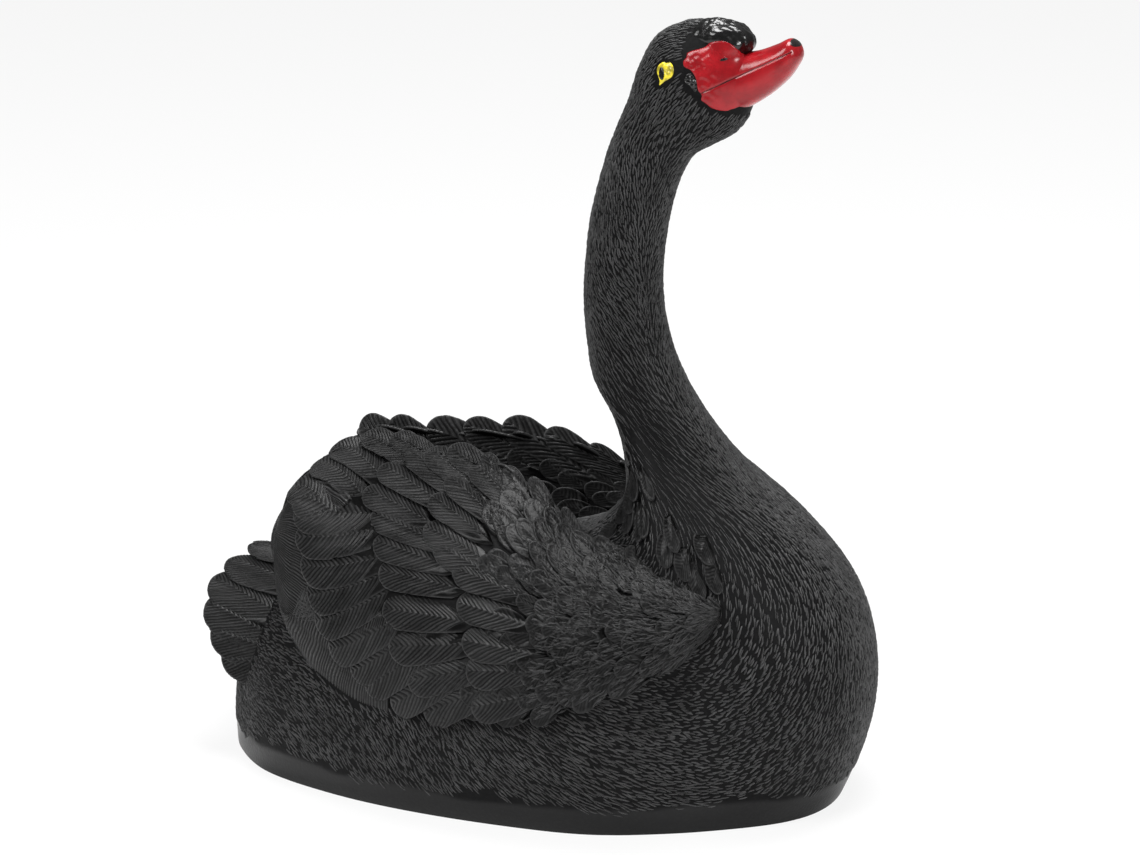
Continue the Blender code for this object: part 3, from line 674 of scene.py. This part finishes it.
# Degrees off the line to the rump, in rows every 25 mm from the rump; columns 30, 60, 90, 120 and 150 degrees
# round from the line where the two sides' flows meet.
STROKE_TURNS = np.array([
    (-34, -33, -32, -31, -31), (-35, -33, -32, -31, -30), (-36, -34, -33, -29, -27), (-39, -38, -33, -18, -22),
    (-43, -45, -44, -19, -23), (-46, -48, -48, -38, -34), (-48, -52, -55, -50, -45), (-47, -52, -56, -54, -48),
    (-44, -45, -44, -44, -44), (-40, -43, -43, -41, -41), (-35, -38, -42, -42, -39), (-29, -35, -46, -42, -36),
    (-24, -28, -39, -33, -25), (-23, -28, -12, -9, -6), (-19, -8, -1, 21, 15), (-5, 15, 49, 54, 30),
    (21, 44, 39, 37, 31), (22, 29, 21, 29, 27), (22, 31, 29, 26, 24), (41, 38, 33, 25, 20), (26, 11, 25, 23, 14),
    (18, 22, 25, 15, 0), (19, 22, 9, -1, -3), (-7, 2, -16, -17, -10), (-1, 0, -6, -11, -22)])
MEETING_LINE = [(0.400, 0), (0.445, 37), (0.535, 37), (0.560, 0)]
# The rear edge of the bare face as heights and how far forward it lies there, and the eye's middle.
FACE_EDGE = [(0.3005, 0.1000), (0.3025, 0.0970), (0.3032, 0.0900), (0.3045, 0.0855), (0.3070, 0.0830),
             (0.3100, 0.0800), (0.3125, 0.0745), (0.3160, 0.0735), (0.3200, 0.0735), (0.3220, 0.0728),
             (0.3260, 0.0730), (0.3325, 0.0735), (0.3345, 0.0748), (0.3366, 0.0760), (0.3385, 0.0800),
             (0.3450, 0.0850)]
EYE = (0.0650, 0.3188)
DROPPED_FROM = 0.0100


def stroke_turn(station, around):
    """The flow's turn off the line to the rump, at angles round from the breast's middle, right side first."""
    around = np.degrees(around) - np.interp(station, *np.transpose(MEETING_LINE))
    around = (around + 180) % 360 - 180
    straight_on = np.zeros((len(STROKE_TURNS), 1))
    table = np.concatenate([straight_on, STROKE_TURNS, straight_on], axis=1)
    row = np.clip(station / STROKE_STEP, 0, len(table) - 1.001)
    column = np.clip(np.abs(around) / 30, 0, 5.999)
    i, j = row.astype(int), column.astype(int)
    u, v = row - i, column - j
    turn = (table[i, j] * (1 - u) * (1 - v) + table[i + 1, j] * u * (1 - v)
            + table[i, j + 1] * (1 - u) * v + table[i + 1, j + 1] * u * v)
    return np.radians(turn * np.sign(around))


def skin_frames(station, angle):
    """Places on the skin, its two tangents per unit of station and angle, and its outward normal."""
    place = skin_place(station, angle)
    by_station = (skin_place(station + 0.001, angle) - skin_place(station - 0.001, angle)) / 0.002
    by_angle = (skin_place(station, angle + 0.02) - skin_place(station, angle - 0.02)) / 0.04
    normal = np.cross(by_angle, by_station)
    normal /= np.maximum(np.linalg.norm(normal, axis=-1, keepdims=True), 1e-9)
    return place, by_station, by_angle, normal


def band_top(x):
    """The ragged line above the glossy base band, below which nothing is cut."""
    return 0.0125 + 0.0022 * np.sin(x * 61 + 0.6) + 0.0016 * np.sin(x * 170) + 0.0012 * np.sin(x * 533)


def left_plain(place):
    """Where nothing is cut: the base band, under wings and tail, the face and round the eyes."""
    x, y, z = place.T
    share = 1 + (x - WING_FRONT_X) / WING_LENGTH
    low, ridge, _, foot = wing_section(np.clip(share, 0, 1))
    plain = z < band_top(x)
    plain |= ((share > 0.01) & (share < 0.985) & (np.abs(y) > foot[:, 0] - 0.001)
              & (z > WING_FOOT_Z + low[:, 1] + 0.002) & (z < WING_FOOT_Z + ridge[:, 1] - 0.002))
    plain |= (x < -0.088) & ((y / 0.045) ** 2 + ((z - 0.041) / 0.041) ** 2 < 1) & (z > 0.040)
    plain |= (z > 0.299) & (x > np.interp(z, *np.transpose(FACE_EDGE)))
    plain |= ((x - EYE[0]) / 0.0046) ** 2 + ((z - EYE[1]) / 0.0054) ** 2 < 1
    return plain


def scattered(first, last, tries, seed, gap_along, gap_across, reach):
    """Strokes thrown at random on the skin and kept where they don't crowd the ones before."""
    draw = np.random.default_rng(seed)
    station = draw.uniform(first, last, tries)
    angle = draw.uniform(0, 2 * math.pi, tries)
    place, by_station, by_angle, _ = skin_frames(station, angle)
    area = np.linalg.norm(np.cross(by_station, by_angle), axis=1)
    kept = (draw.uniform(0, 1, tries) < area / np.quantile(area, 0.995)) & ~left_plain(place)
    station, angle, place = station[kept], angle[kept], place[kept]
    by_station, by_angle = by_station[kept], by_angle[kept]
    around = -((angle + math.pi) % (2 * math.pi) - math.pi)
    turn = stroke_turn(station, around) + draw.normal(0, math.radians(7), len(station))
    ahead = by_station / np.linalg.norm(by_station, axis=1, keepdims=True)
    round_ = by_angle / np.maximum(np.linalg.norm(by_angle, axis=1, keepdims=True), 1e-9)
    way = -np.cos(turn)[:, None] * ahead + np.sin(turn)[:, None] * round_
    side = np.sin(turn)[:, None] * ahead + np.cos(turn)[:, None] * round_
    free = ~(left_plain(place + way * reach) | left_plain(place - way * reach))
    station, angle, place, turn, way, side = [part[free] for part in (station, angle, place, turn, way, side)]
    cells = {}
    taken = []
    rows = np.concatenate([place, way / gap_along, side / gap_across], axis=1).tolist()
    boxes = np.floor(place / gap_along).astype(int).tolist()
    for index, (x, y, z, wx, wy, wz, sx, sy, sz) in enumerate(rows):
        bx, by, bz = boxes[index]
        free = True
        for key in [(bx + i, by + j, bz + k) for i in (0, -1, 1) for j in (0, -1, 1) for k in (0, -1, 1)]:
            for ox, oy, oz in cells.get(key, ()):
                dx, dy, dz = x - ox, y - oy, z - oz
                if (dx * wx + dy * wy + dz * wz) ** 2 + (dx * sx + dy * sy + dz * sz) ** 2 < 1:
                    free = False
                    break
            if not free:
                break
        if free:
            cells.setdefault((bx, by, bz), []).append((x, y, z))
            taken.append(index)
    return station[taken], angle[taken], turn[taken], draw


def stroke_piece(name, count, draw, longest, placed):
    """Thin closed ridges with sunk edges; placed turns distances along, across and up into places."""
    length = draw.uniform(0.68, 1.0, count) * longest
    width = draw.uniform(0.42, 0.58, count) / 1000
    height = draw.uniform(0.38, 0.62, count) / 1000
    bend = draw.normal(0, 0.12, count)
    spots = []
    for run, wide, high in ((-1, 0, -0.4), (-0.55, 0.85, 0.75), (0.05, 1, 1), (0.62, 0.7, 0.8), (1, 0, -0.4)):
        for across in (-1, 0, 1) if wide else (0,):
            out = across * wide * width + bend * length / 2 * (run * run - 0.5)
            spots.append(placed(run * length / 2, out, high * height if across == 0 else -0.00020))
    spots = np.stack(spots, axis=1)
    faces = [(0, 2, 1), (0, 3, 2), (0, 1, 3), (10, 7, 8), (10, 8, 9), (10, 9, 7)]
    for ring in (1, 4):
        for here, beside in ((0, 1), (1, 2), (2, 0)):
            faces.append((ring + here, ring + beside, ring + 3 + beside, ring + 3 + here))
    bpy.ops.mesh.primitive_plane_add()
    piece = bpy.context.object
    piece.name = piece.data.name = name
    piece.data.clear_geometry()
    corners = [tuple(corner + spots.shape[1] * i for corner in face) for i in range(count) for face in faces]
    piece.data.from_pydata(spots.reshape(-1, 3).tolist(), [], corners)
    layer = piece.data.attributes.new("raised", "FLOAT", "POINT")
    # Each hair is painted lighter along its crest, as wear and painted highlight, and dark at its sunk edges, as
    # painted shade.
    tops = draw.uniform(0.55, 1.0, count)[:, None] * np.array([0.2, 0, 1, 0, 0, 1, 0, 0, 1, 0, 0.2])[None, :]
    layer.data.foreach_set("value", tops.reshape(-1))
    turned_out(piece)
    bpy.ops.object.shade_smooth()
    return piece


def cut_strokes(name, first, last, tries, seed, longest, gap_along, gap_across):
    """Strokes over a stretch of the skin, laid along the flow and bent with it."""
    station, angle, turn, draw = scattered(first, last, tries, seed, gap_along, gap_across, 0.38 * longest)
    _, by_station, by_angle, _ = skin_frames(station, angle)
    pace_s, pace_a = np.linalg.norm(by_station, axis=1), np.maximum(np.linalg.norm(by_angle, axis=1), 0.002)

    def placed(forth, out, proud):
        s = station + (-np.cos(turn) * forth + np.sin(turn) * out) / pace_s
        a = angle + (np.sin(turn) * forth + np.cos(turn) * out) / pace_a
        place, _, _, normal = skin_frames(np.clip(s, 0.002, STATIONS[-1] - 0.002), a)
        return place + normal * np.broadcast_to(proud, len(station))[:, None]

    return stroke_piece(name, len(station), draw, longest, placed)


def tree_of(*pieces):
    """The faces of some pieces, ready for rays to be cast on to them."""
    corners, faces = [], []
    for piece in pieces:
        start = len(corners)
        corners += [vertex.co.copy() for vertex in piece.data.vertices]
        faces += [[start + corner for corner in face.vertices] for face in piece.data.polygons]
    return BVHTree.FromPolygons(corners, faces)


def wing_strokes(name, count, seed, longest, side):
    """Strokes over the small scales of one wing, dropped on to them from outside."""
    draw = np.random.default_rng(seed)
    share, turn = draw.uniform(0.50, 0.995, count), draw.uniform(-0.02, 1.02, count)
    share = np.where(share < 0.56 + 0.1 * (1 - np.abs(turn - 0.35)), draw.uniform(0.66, 0.995, count), share)
    lean = np.radians(SCALE_DROP + SCALE_TURNED * turn + draw.normal(0, 14, count))
    low, ridge, _, _ = wing_section(share)
    span = np.maximum(np.linalg.norm(ridge - low, axis=1), 0.3 * WING_HEIGHT)
    under = tree_of(bpy.data.objects["covert_scales_left"], bpy.data.objects["wing_left"])

    def placed(forth, out, proud):
        at = np.minimum(share + (forth * np.cos(lean) + out * np.sin(lean)) / WING_LENGTH, 0.999)
        rise = turn - (forth * np.sin(lean) - out * np.cos(lean)) / span
        floor, above = wing_place(at, rise, 0.0), wing_place(at, rise, DROPPED_FROM)
        spots = []
        for start, down, high in zip(above, (floor - above) / DROPPED_FROM, np.broadcast_to(proud, count)):
            hit = under.ray_cast(Vector(start), Vector(down), 1.2 * DROPPED_FROM)[0]
            spots.append((start + down * DROPPED_FROM if hit is None else np.array(hit)) - down * high)
        return np.array(spots) * np.array([1, side, 1])

    return stroke_piece(name, count, draw, longest, placed)


SKIN_STROKES = [  # first and last station, seed, longest stroke, and the gaps along and across the flow
    ("flanks", 0.004, 0.250, 11, 0.0070, 0.0030, 0.00090),
    ("breast", 0.250, 0.410, 12, 0.0066, 0.0029, 0.00088),
    ("neck", 0.410, 0.596, 13, 0.0058, 0.0027, 0.00084)]
stroke_black = black_paint("stroke_black", dark=0.0015, light=0.092, grain=0.4, gloss=0.16)
for stretch, first, last, seed, longest, gap_along, gap_across in SKIN_STROKES:
    strokes = cut_strokes("cut_plumage_" + stretch, first, last, 150000, seed, longest, gap_along, gap_across)
    finish_piece(strokes, stroke_black)
wing_stroke_black = black_paint("wing_stroke_black", dark=0.0010, light=0.062, grain=0.4, gloss=0.12)
for side, side_name in SIDES:
    finish_piece(wing_strokes("cut_plumage_wing_" + side_name, 1250, 14, 0.0052, side), wing_stroke_black)

# A few curled scales lie loose on the back, round the foot of the neck.
# Each is a rounded feather of the same casting, its tip lifted off the skin.
BACK_SCALE_LENGTH, BACK_SCALE_CURL = 0.019, 0.0042
# Millimetres along the skin from the rump, and degrees round from the breast's middle.
BACK_SCALES = [(321, 212), (293, 206), (319, 230), (325, 244), (329, 254), (327, 264), (355, 237), (261, 204),
               (325, 232), (315, 261), (336, 269), (346, 265), (305, 218), (340, 222), (338, 250)]
pattern = flat_feather("back_scale_pattern", BACK_SCALE_LENGTH, 0.0112, 0.0140, 140, scale=True)
back, aside, height = places_of(pattern).T
draw = np.random.default_rng(41)
pieces = []
for station_mm, degrees in BACK_SCALES:
    station, around = station_mm / 1000, math.radians(degrees)
    lean = math.radians(draw.uniform(-35, 35))
    _, by_station, by_angle, _ = skin_frames(np.array([station]), np.array([around]))
    at_station = station + (back * math.cos(lean) - aside * math.sin(lean)) / np.linalg.norm(by_station)
    at_angle = around + (back * math.sin(lean) + aside * math.cos(lean)) / np.linalg.norm(by_angle)
    place, _, _, normal = skin_frames(at_station, at_angle)
    curl = BACK_SCALE_CURL * np.clip(0.75 - back / BACK_SCALE_LENGTH, -0.3, 1) ** 2
    place = place + normal * (height + curl)[:, None]
    for side in (1, -1):
        pieces.append(copied(pattern, place * [1, side, 1]))
thrown_away([pattern])
back_scales = joined("back_scales", pieces)
turned_out(back_scales)
finish_piece(back_scales, scale_black)

# The tail is a fan of rounded feathers over the rump, in the same casting.
# They overlap outwards from the middle one, over a plain rounded core.
TAIL_FEATHERS, TAIL_SPREAD = 11, math.radians(84)
TAIL_WIDTH, TAIL_HEIGHT, TAIL_ROOT_Z = 0.088, 0.040, 0.394 * BACK_HEIGHT
TAIL_REACH, TAIL_DRAW_IN, TAIL_LENGTH, TAIL_FEATHER_WIDTH = 0.008, 0.008, 0.062, 0.0250
TAIL_SKEW, TAIL_TILT, TAIL_LIFT, TAIL_MIDDLE_PROUD = math.radians(25), 0.11, 0.0030, 0.0016
rump_x = BODY_SECTIONS[0][0][0] * BODY_LENGTH
pattern = flat_feather("tail_pattern", TAIL_LENGTH, TAIL_FEATHER_WIDTH, 0.045, 99)
back, aside, height = places_of(pattern).T
pieces = []
for i in range(TAIL_FEATHERS):
    turn = TAIL_SPREAD * (2 * i / (TAIL_FEATHERS - 1) - 1)
    tip = rump_x - TAIL_REACH * math.sin(2 * abs(turn)) + TAIL_DRAW_IN * math.sin(turn) ** 4
    skew = TAIL_SKEW * math.sin(2 * turn) * (0.5 + 0.5 * math.cos(turn))
    around = turn + (back * math.sin(skew) + aside * math.cos(skew)) / (TAIL_WIDTH / 2)
    forth = back * math.cos(skew) - aside * math.sin(skew)
    step = TAIL_TILT * aside * math.copysign(1, turn) if turn else TAIL_MIDDLE_PROUD
    lift = height + TAIL_LIFT * (0.4 - back / TAIL_LENGTH) + step
    places = np.stack([tip + forth, (TAIL_WIDTH / 2 + lift) * np.sin(around),
                       TAIL_ROOT_Z + (TAIL_HEIGHT + lift) * np.cos(around)], axis=-1)
    pieces.append(copied(pattern, places, mirror=True))
thrown_away([pattern])
tail = joined("tail_feathers", pieces)
turned_out(tail)
finish_piece(tail, feather_black)
TAIL_CORE_LENGTH, TAIL_CORE_SHARE, TAIL_CORE_BELOW = 0.045, 0.955, 0.45
angle, deep = np.meshgrid(np.linspace(-math.pi, math.pi, 49), np.linspace(0, 1, 12))
thick = np.sqrt(1 - (1 - deep) ** 6) * TAIL_CORE_SHARE
tip = rump_x + 0.005 - TAIL_REACH * np.abs(np.sin(2 * angle)) * (np.cos(angle) > 0) * thick
fall = np.where(np.cos(angle) > 0, 1, TAIL_CORE_BELOW)
core = np.stack([tip + deep ** 2 * TAIL_CORE_LENGTH, TAIL_WIDTH / 2 * thick * np.sin(angle),
                 TAIL_ROOT_Z + TAIL_HEIGHT * thick * np.cos(angle) * fall], axis=-1)
finish_piece(sewn("tail_core", ended(core)), skin_black)

# The bill is part of the casting, painted glossy red by hand, with a black nail at its tip.
# The mouth is a cut line along each side, with painted shade along it.
BILL_LENGTH, BILL_HEIGHT, BILL_WIDTH = 0.038, 0.024, 0.0245
BILL_FULLNESS, BILL_RISE = 2.3, math.radians(22)
BILL_ROOT, BILL_EDGE_SUNK = (0.520, 0.700), 0.00045
MOUTH_BELOW, MOUTH_RISE, MOUTH_HALF_WIDTH = 0.0039, 0.0030, 0.00034
NAIL_MM, NAIL_REACH = (119.0, 334.6), (11.0, 13.0)
BILL_SECTIONS = [
    (-0.25, 0.30, -0.60, 0.95), (0.00, 0.30, -0.74, 1.02), (0.22, 0.28, -0.72, 0.95), (0.50, 0.16, -0.63, 0.82),
    (0.75, 0.15, -0.48, 0.74), (0.90, 0.17, -0.32, 0.62), (0.97, 0.10, -0.22, 0.42), (1.00, 0.00, -0.12, 0.14)]


def head_place(shares):
    """Forward and up of a place that is given as shares of the head's length and height."""
    return NECK_TOP[0] + shares[0] * HEAD_LENGTH, NECK_TOP[1] + shares[1] * HEAD_HEIGHT


root_x, root_z = head_place(BILL_ROOT)
BILL_COS, BILL_SIN = math.cos(BILL_RISE), math.sin(BILL_RISE)


def mouth_depth(forth, up):
    """The cut line of the mouth, from the cheek to near the tip, as a depth from 0 to 1."""
    from_line = up - (-MOUTH_BELOW + MOUTH_RISE * forth / BILL_LENGTH)
    ends = np.clip((0.0360 - forth) / 0.002, 0, 1) * np.clip((forth + 0.0062) / 0.001, 0, 1)
    return np.exp(-(from_line / MOUTH_HALF_WIDTH) ** 2) * ends


bill_rows = smooth_rows(BILL_SECTIONS, 16)
angle = np.linspace(0, 2 * math.pi, 181)
c, s = full_round(angle, BILL_FULLNESS)
run, top, bottom, wide = [bill_rows[:, column][:, None] for column in range(4)]
up = ((top + bottom) / 2 + (top - bottom) / 2 * c) * BILL_HEIGHT
forth = run * BILL_LENGTH + 0 * up
out = (wide * BILL_WIDTH / 2 + 0 * up) * s
out = out - BILL_EDGE_SUNK * mouth_depth(forth, up) * np.sign(out) * (np.abs(out) > 0.001)
bill_places = np.stack([root_x + forth * BILL_COS - up * BILL_SIN, out,
                        root_z + forth * BILL_SIN + up * BILL_COS], axis=-1)
bill = sewn("bill", ended(bill_places))
red, wire = new_material("gloss_red")
place = wire.node("ShaderNodeTexCoord", out="Object")
x_mm = wire.node("ShaderNodeSeparateXYZ", None, {"Vector": place}, out="X") * 1000
z_mm = wire.node("ShaderNodeSeparateXYZ", None, {"Vector": place}, out="Z") * 1000
brushed = wire.noise(place, 140.0, 3.0)
grain = wire.noise(place, 700.0, 2.0)
colour = wire.mixed(brushed.between(0.3, 0.7), (0.200, 0.0030, 0.0060), (0.310, 0.0055, 0.0100))
forth_mm = (x_mm - root_x * 1000) * BILL_COS + (z_mm - root_z * 1000) * BILL_SIN
up_mm = (z_mm - root_z * 1000) * BILL_COS - (x_mm - root_x * 1000) * BILL_SIN
from_line = up_mm + MOUTH_BELOW * 1000 - forth_mm * (MOUTH_RISE / BILL_LENGTH)
from_line = from_line.maths("ABSOLUTE", from_line)
# Painted shade darkens a narrow line along the mouth's cut line, from the cheek to near the tip.
line = (1 - from_line.between(0.10, 0.34)) * (1 - forth_mm.between(35, 36.5)) * forth_mm.between(-6.3, -5.6)
colour = wire.mixed(line * 0.85, colour, (0.030, 0.001, 0.002))
nail_x, nail_z = x_mm - NAIL_MM[0], z_mm - NAIL_MM[1]
nail = 1 - (nail_x * nail_x + nail_z * nail_z + brushed * 6.0 - 3.0).between(*NAIL_REACH)
colour = wire.mixed(nail, colour, (0.008, 0.006, 0.006))
wire.surface({"Base Color": colour, "Roughness": 0.17 + brushed * 0.12, "Specular IOR Level": 0.36,
              "Normal": wire.bumps(0.30, 0.0005, brushed + grain * 0.25)})
finish_piece(bill, red)

# The knob over the bill's root is lumpy, cast with the head and painted with thick gloss black.
# It droops a little to the front, over the bill.
KNOB_LENGTH, KNOB_HEIGHT, KNOB_WIDTH, KNOB_DROOP = 0.0290, 0.0158, 0.0236, math.radians(9)
KNOB_MIDDLE, KNOB_SHIFT = (0.572, 0.940), (-0.0020, 0.0004)
gloss_black = black_paint("gloss_black", dark=0.002, light=0.006, grain=0.15, gloss=0.50,
                          roughness=0.19, sheen_and_wear=False)
knob_x, knob_z = head_place(KNOB_MIDDLE)
bpy.ops.mesh.primitive_uv_sphere_add(segments=112, ring_count=76, radius=0.5)
knob = bpy.context.object
knob.name = knob.data.name = "knob"
knob_size = np.array([KNOB_LENGTH, KNOB_WIDTH, KNOB_HEIGHT])
ball = places_of(knob) * knob_size
outward = ball / (knob_size / 2) ** 2
outward /= np.linalg.norm(outward, axis=1, keepdims=True)
lumps = 0.00040 * waves(ball, 0.0100, 3) + 0.00020 * waves(ball, 0.0042, 4) + 0.00010 * waves(ball, 0.0022, 5)
ball = ball + outward * lumps[:, None]
turned = np.stack([ball[:, 0] * math.cos(KNOB_DROOP) + ball[:, 2] * math.sin(KNOB_DROOP), ball[:, 1],
                   -ball[:, 0] * math.sin(KNOB_DROOP) + ball[:, 2] * math.cos(KNOB_DROOP)], axis=-1)
turned += [knob_x + KNOB_SHIFT[0], 0, knob_z + KNOB_SHIFT[1]]
knob.data.vertices.foreach_set("co", turned.reshape(-1))
bpy.ops.object.shade_smooth()
finish_piece(knob, gloss_black)

# The red paint runs back from the bill over the face to a wavy edge, brushed by hand and thick at its rim.
# Outlines on the face are given as x and z in millimetres, on the right side and alike on the left.
RED_EDGE = [(84.0, 332.4), (81.4, 330.3), (77.2, 328.9), (74.4, 327.7), (74.0, 325.8), (72.9, 324.0),
            (73.6, 322.0), (76.2, 320.9), (77.9, 319.2), (79.2, 316.5), (79.9, 312.8), (81.5, 310.5),
            (81.4, 308.4), (83.4, 306.8), (85.8, 304.9), (90.5, 303.6), (95.5, 304.4), (99.0, 308.0),
            (100.5, 313.0), (100.5, 319.0), (99.0, 323.5), (96.8, 327.0), (94.8, 330.0), (92.0, 332.4),
            (88.5, 333.3)]


def closed_curve(points, steps):
    """A smooth closed curve through points, its last place again on its first."""
    points = np.array(points, float)
    wrapped = np.concatenate([points[-2:], points, points[:3]])
    return smooth_rows(wrapped, steps)[2 * steps:(2 + len(points)) * steps + 1]


def patch(name, surface, outline_mm, proud, extra=None, rings=24, steps=8, firmness=5.0, filled=0, sunk=None):
    """A thin rounded patch on the face, its edge sunk, and the same again on the left side.

    It bridges the hollows under it more with each of the filled rounds, and sinks where sunk(x, z) nears 1.
    """
    outline = closed_curve(outline_mm, steps) / 1000
    centre = outline[:-1].mean(axis=0)
    spots, normals, heights = [], [], []
    for share in np.linspace(0.03, 1, rings):
        for x, z in centre + (outline - centre) * share:
            spot, normal, _, _ = surface.ray_cast(Vector((x, -0.08, z)), Vector((0, 1, 0)))
            if spot is None:
                spot, normal, _, _ = surface.find_nearest(Vector((x, -0.012, z)))
            down = sunk(x, z) if sunk else 0
            height = proud * (1 - share ** firmness) ** 0.5 * (1 - down) - 0.0004 * max(down, share == 1)
            if extra:
                height += extra(x, z) * (1 - share ** 6)
            spots.append(spot)
            normals.append(normal)
            heights.append(height)
    spots, normals = [np.array(part).reshape(rings, -1, 3) for part in (spots, normals)]
    side = spots[:, :-1, 1].copy()
    for _ in range(filled):
        mean = (side[:-2] + side[2:] + np.roll(side, 1, axis=1)[1:-1] + np.roll(side, -1, axis=1)[1:-1]) / 4
        side[1:-1] = np.minimum(side[1:-1], mean)
    spots[:, :, 1] = np.concatenate([side, side[:, :1]], axis=1)
    places = ended(spots + normals * np.array(heights).reshape(rings, -1, 1))
    right = sewn(name + "_right", places)
    left = sewn(name + "_left", places * np.array([1, -1, 1]))
    return right, left


def face_relief(x, z):
    """The mouth's cut line, and thick brush lumps near the rear edge."""
    dx, dz = x - root_x, z - root_z
    spot = np.array([[x, 0, z]])
    return (-0.00055 * float(mouth_depth(dx * BILL_COS + dz * BILL_SIN, dz * BILL_COS - dx * BILL_SIN))
            + 0.00016 * float(waves(spot, 0.0030, 8)[0]) * min(max((0.090 - x) / 0.008, 0), 1))


def over_the_bill(x, z):
    """How far the cheek's paint has run into the bill's own, below the knob."""
    return min(max((x - 0.088) / 0.009, 0), 1) * min(max((0.3295 - z) / 0.004, 0), 1)


face = tree_of(neck, bill, knob)
for side in patch("red_cheek", face, RED_EDGE, 0.00050, face_relief, 40, 7, 14.0, 900, over_the_bill):
    finish_piece(side, red)

# Thick gloss black also lies in front of each eye, beside the red, and in the nostrils.
# It is brushed on by hand, in uneven pools that stand a little proud.
LORE = [(74.3, 318.6), (76.5, 319.6), (79.0, 317.4), (80.0, 314.0), (79.0, 311.8),
        (76.6, 314.0), (74.2, 316.0)]


def ellipse(x, z, length, height, lean):
    """Twelve places round a long oval, its long way turned up by some degrees."""
    turn = np.linspace(0, 2 * math.pi, 12, endpoint=False)
    along_it, across_it = np.cos(turn) * length / 2, np.sin(turn) * height / 2
    c, s = math.cos(math.radians(lean)), math.sin(math.radians(lean))
    return np.stack([x + along_it * c - across_it * s, z + along_it * s + across_it * c], axis=-1)


def lumpy(x, z):
    return 0.00035 * float(waves(np.array([[x, 0, z]]), 0.0019, 9)[0])


def lid_lumps(x, z):
    return 0.2 * lumpy(x, z)


for side in patch("lore", face, LORE, 0.00040, lumpy, 16):
    finish_piece(side, gloss_black)
face = tree_of(neck, bill, bpy.data.objects["red_cheek_right"])
for side in patch("nostril", face, ellipse(90.0, 325.6, 3.4, 1.2, 12), 0.00022, None, 8, 4):
    finish_piece(side, gloss_black)

# Each eye is a raised lid in the casting, painted yellow by hand in an uneven drop shape.
# A narrow upright pupil of gloss black lies on it.
EYE_LID = [(65.5, 323.0), (64.2, 323.3), (62.4, 322.3), (61.3, 320.6), (61.4, 318.6), (62.3, 316.7),
           (63.0, 315.2), (63.1, 313.4), (64.9, 314.9), (66.7, 316.1), (68.6, 317.5), (69.4, 319.7),
           (69.0, 321.6), (67.6, 323.3)]
yellow, wire = new_material("yellow_paint")
place = wire.node("ShaderNodeTexCoord", out="Object")
streaks = wire.noise(place, 420.0, 2.0)
colour = wire.mixed(streaks.between(0.38, 0.60), (0.300, 0.250, 0.020), (0.740, 0.600, 0.030))
wire.surface({"Base Color": colour, "Roughness": 0.20 + streaks * 0.1})
for side in patch("eye", face, EYE_LID, 0.00060, lid_lumps, 16):
    finish_piece(side, yellow)
face = tree_of(neck, bpy.data.objects["eye_right"])
for side in patch("pupil", face, ellipse(63.9, 318.5, 5.6, 2.5, 97), 0.00050, None, 10, 4):
    finish_piece(side, gloss_black)
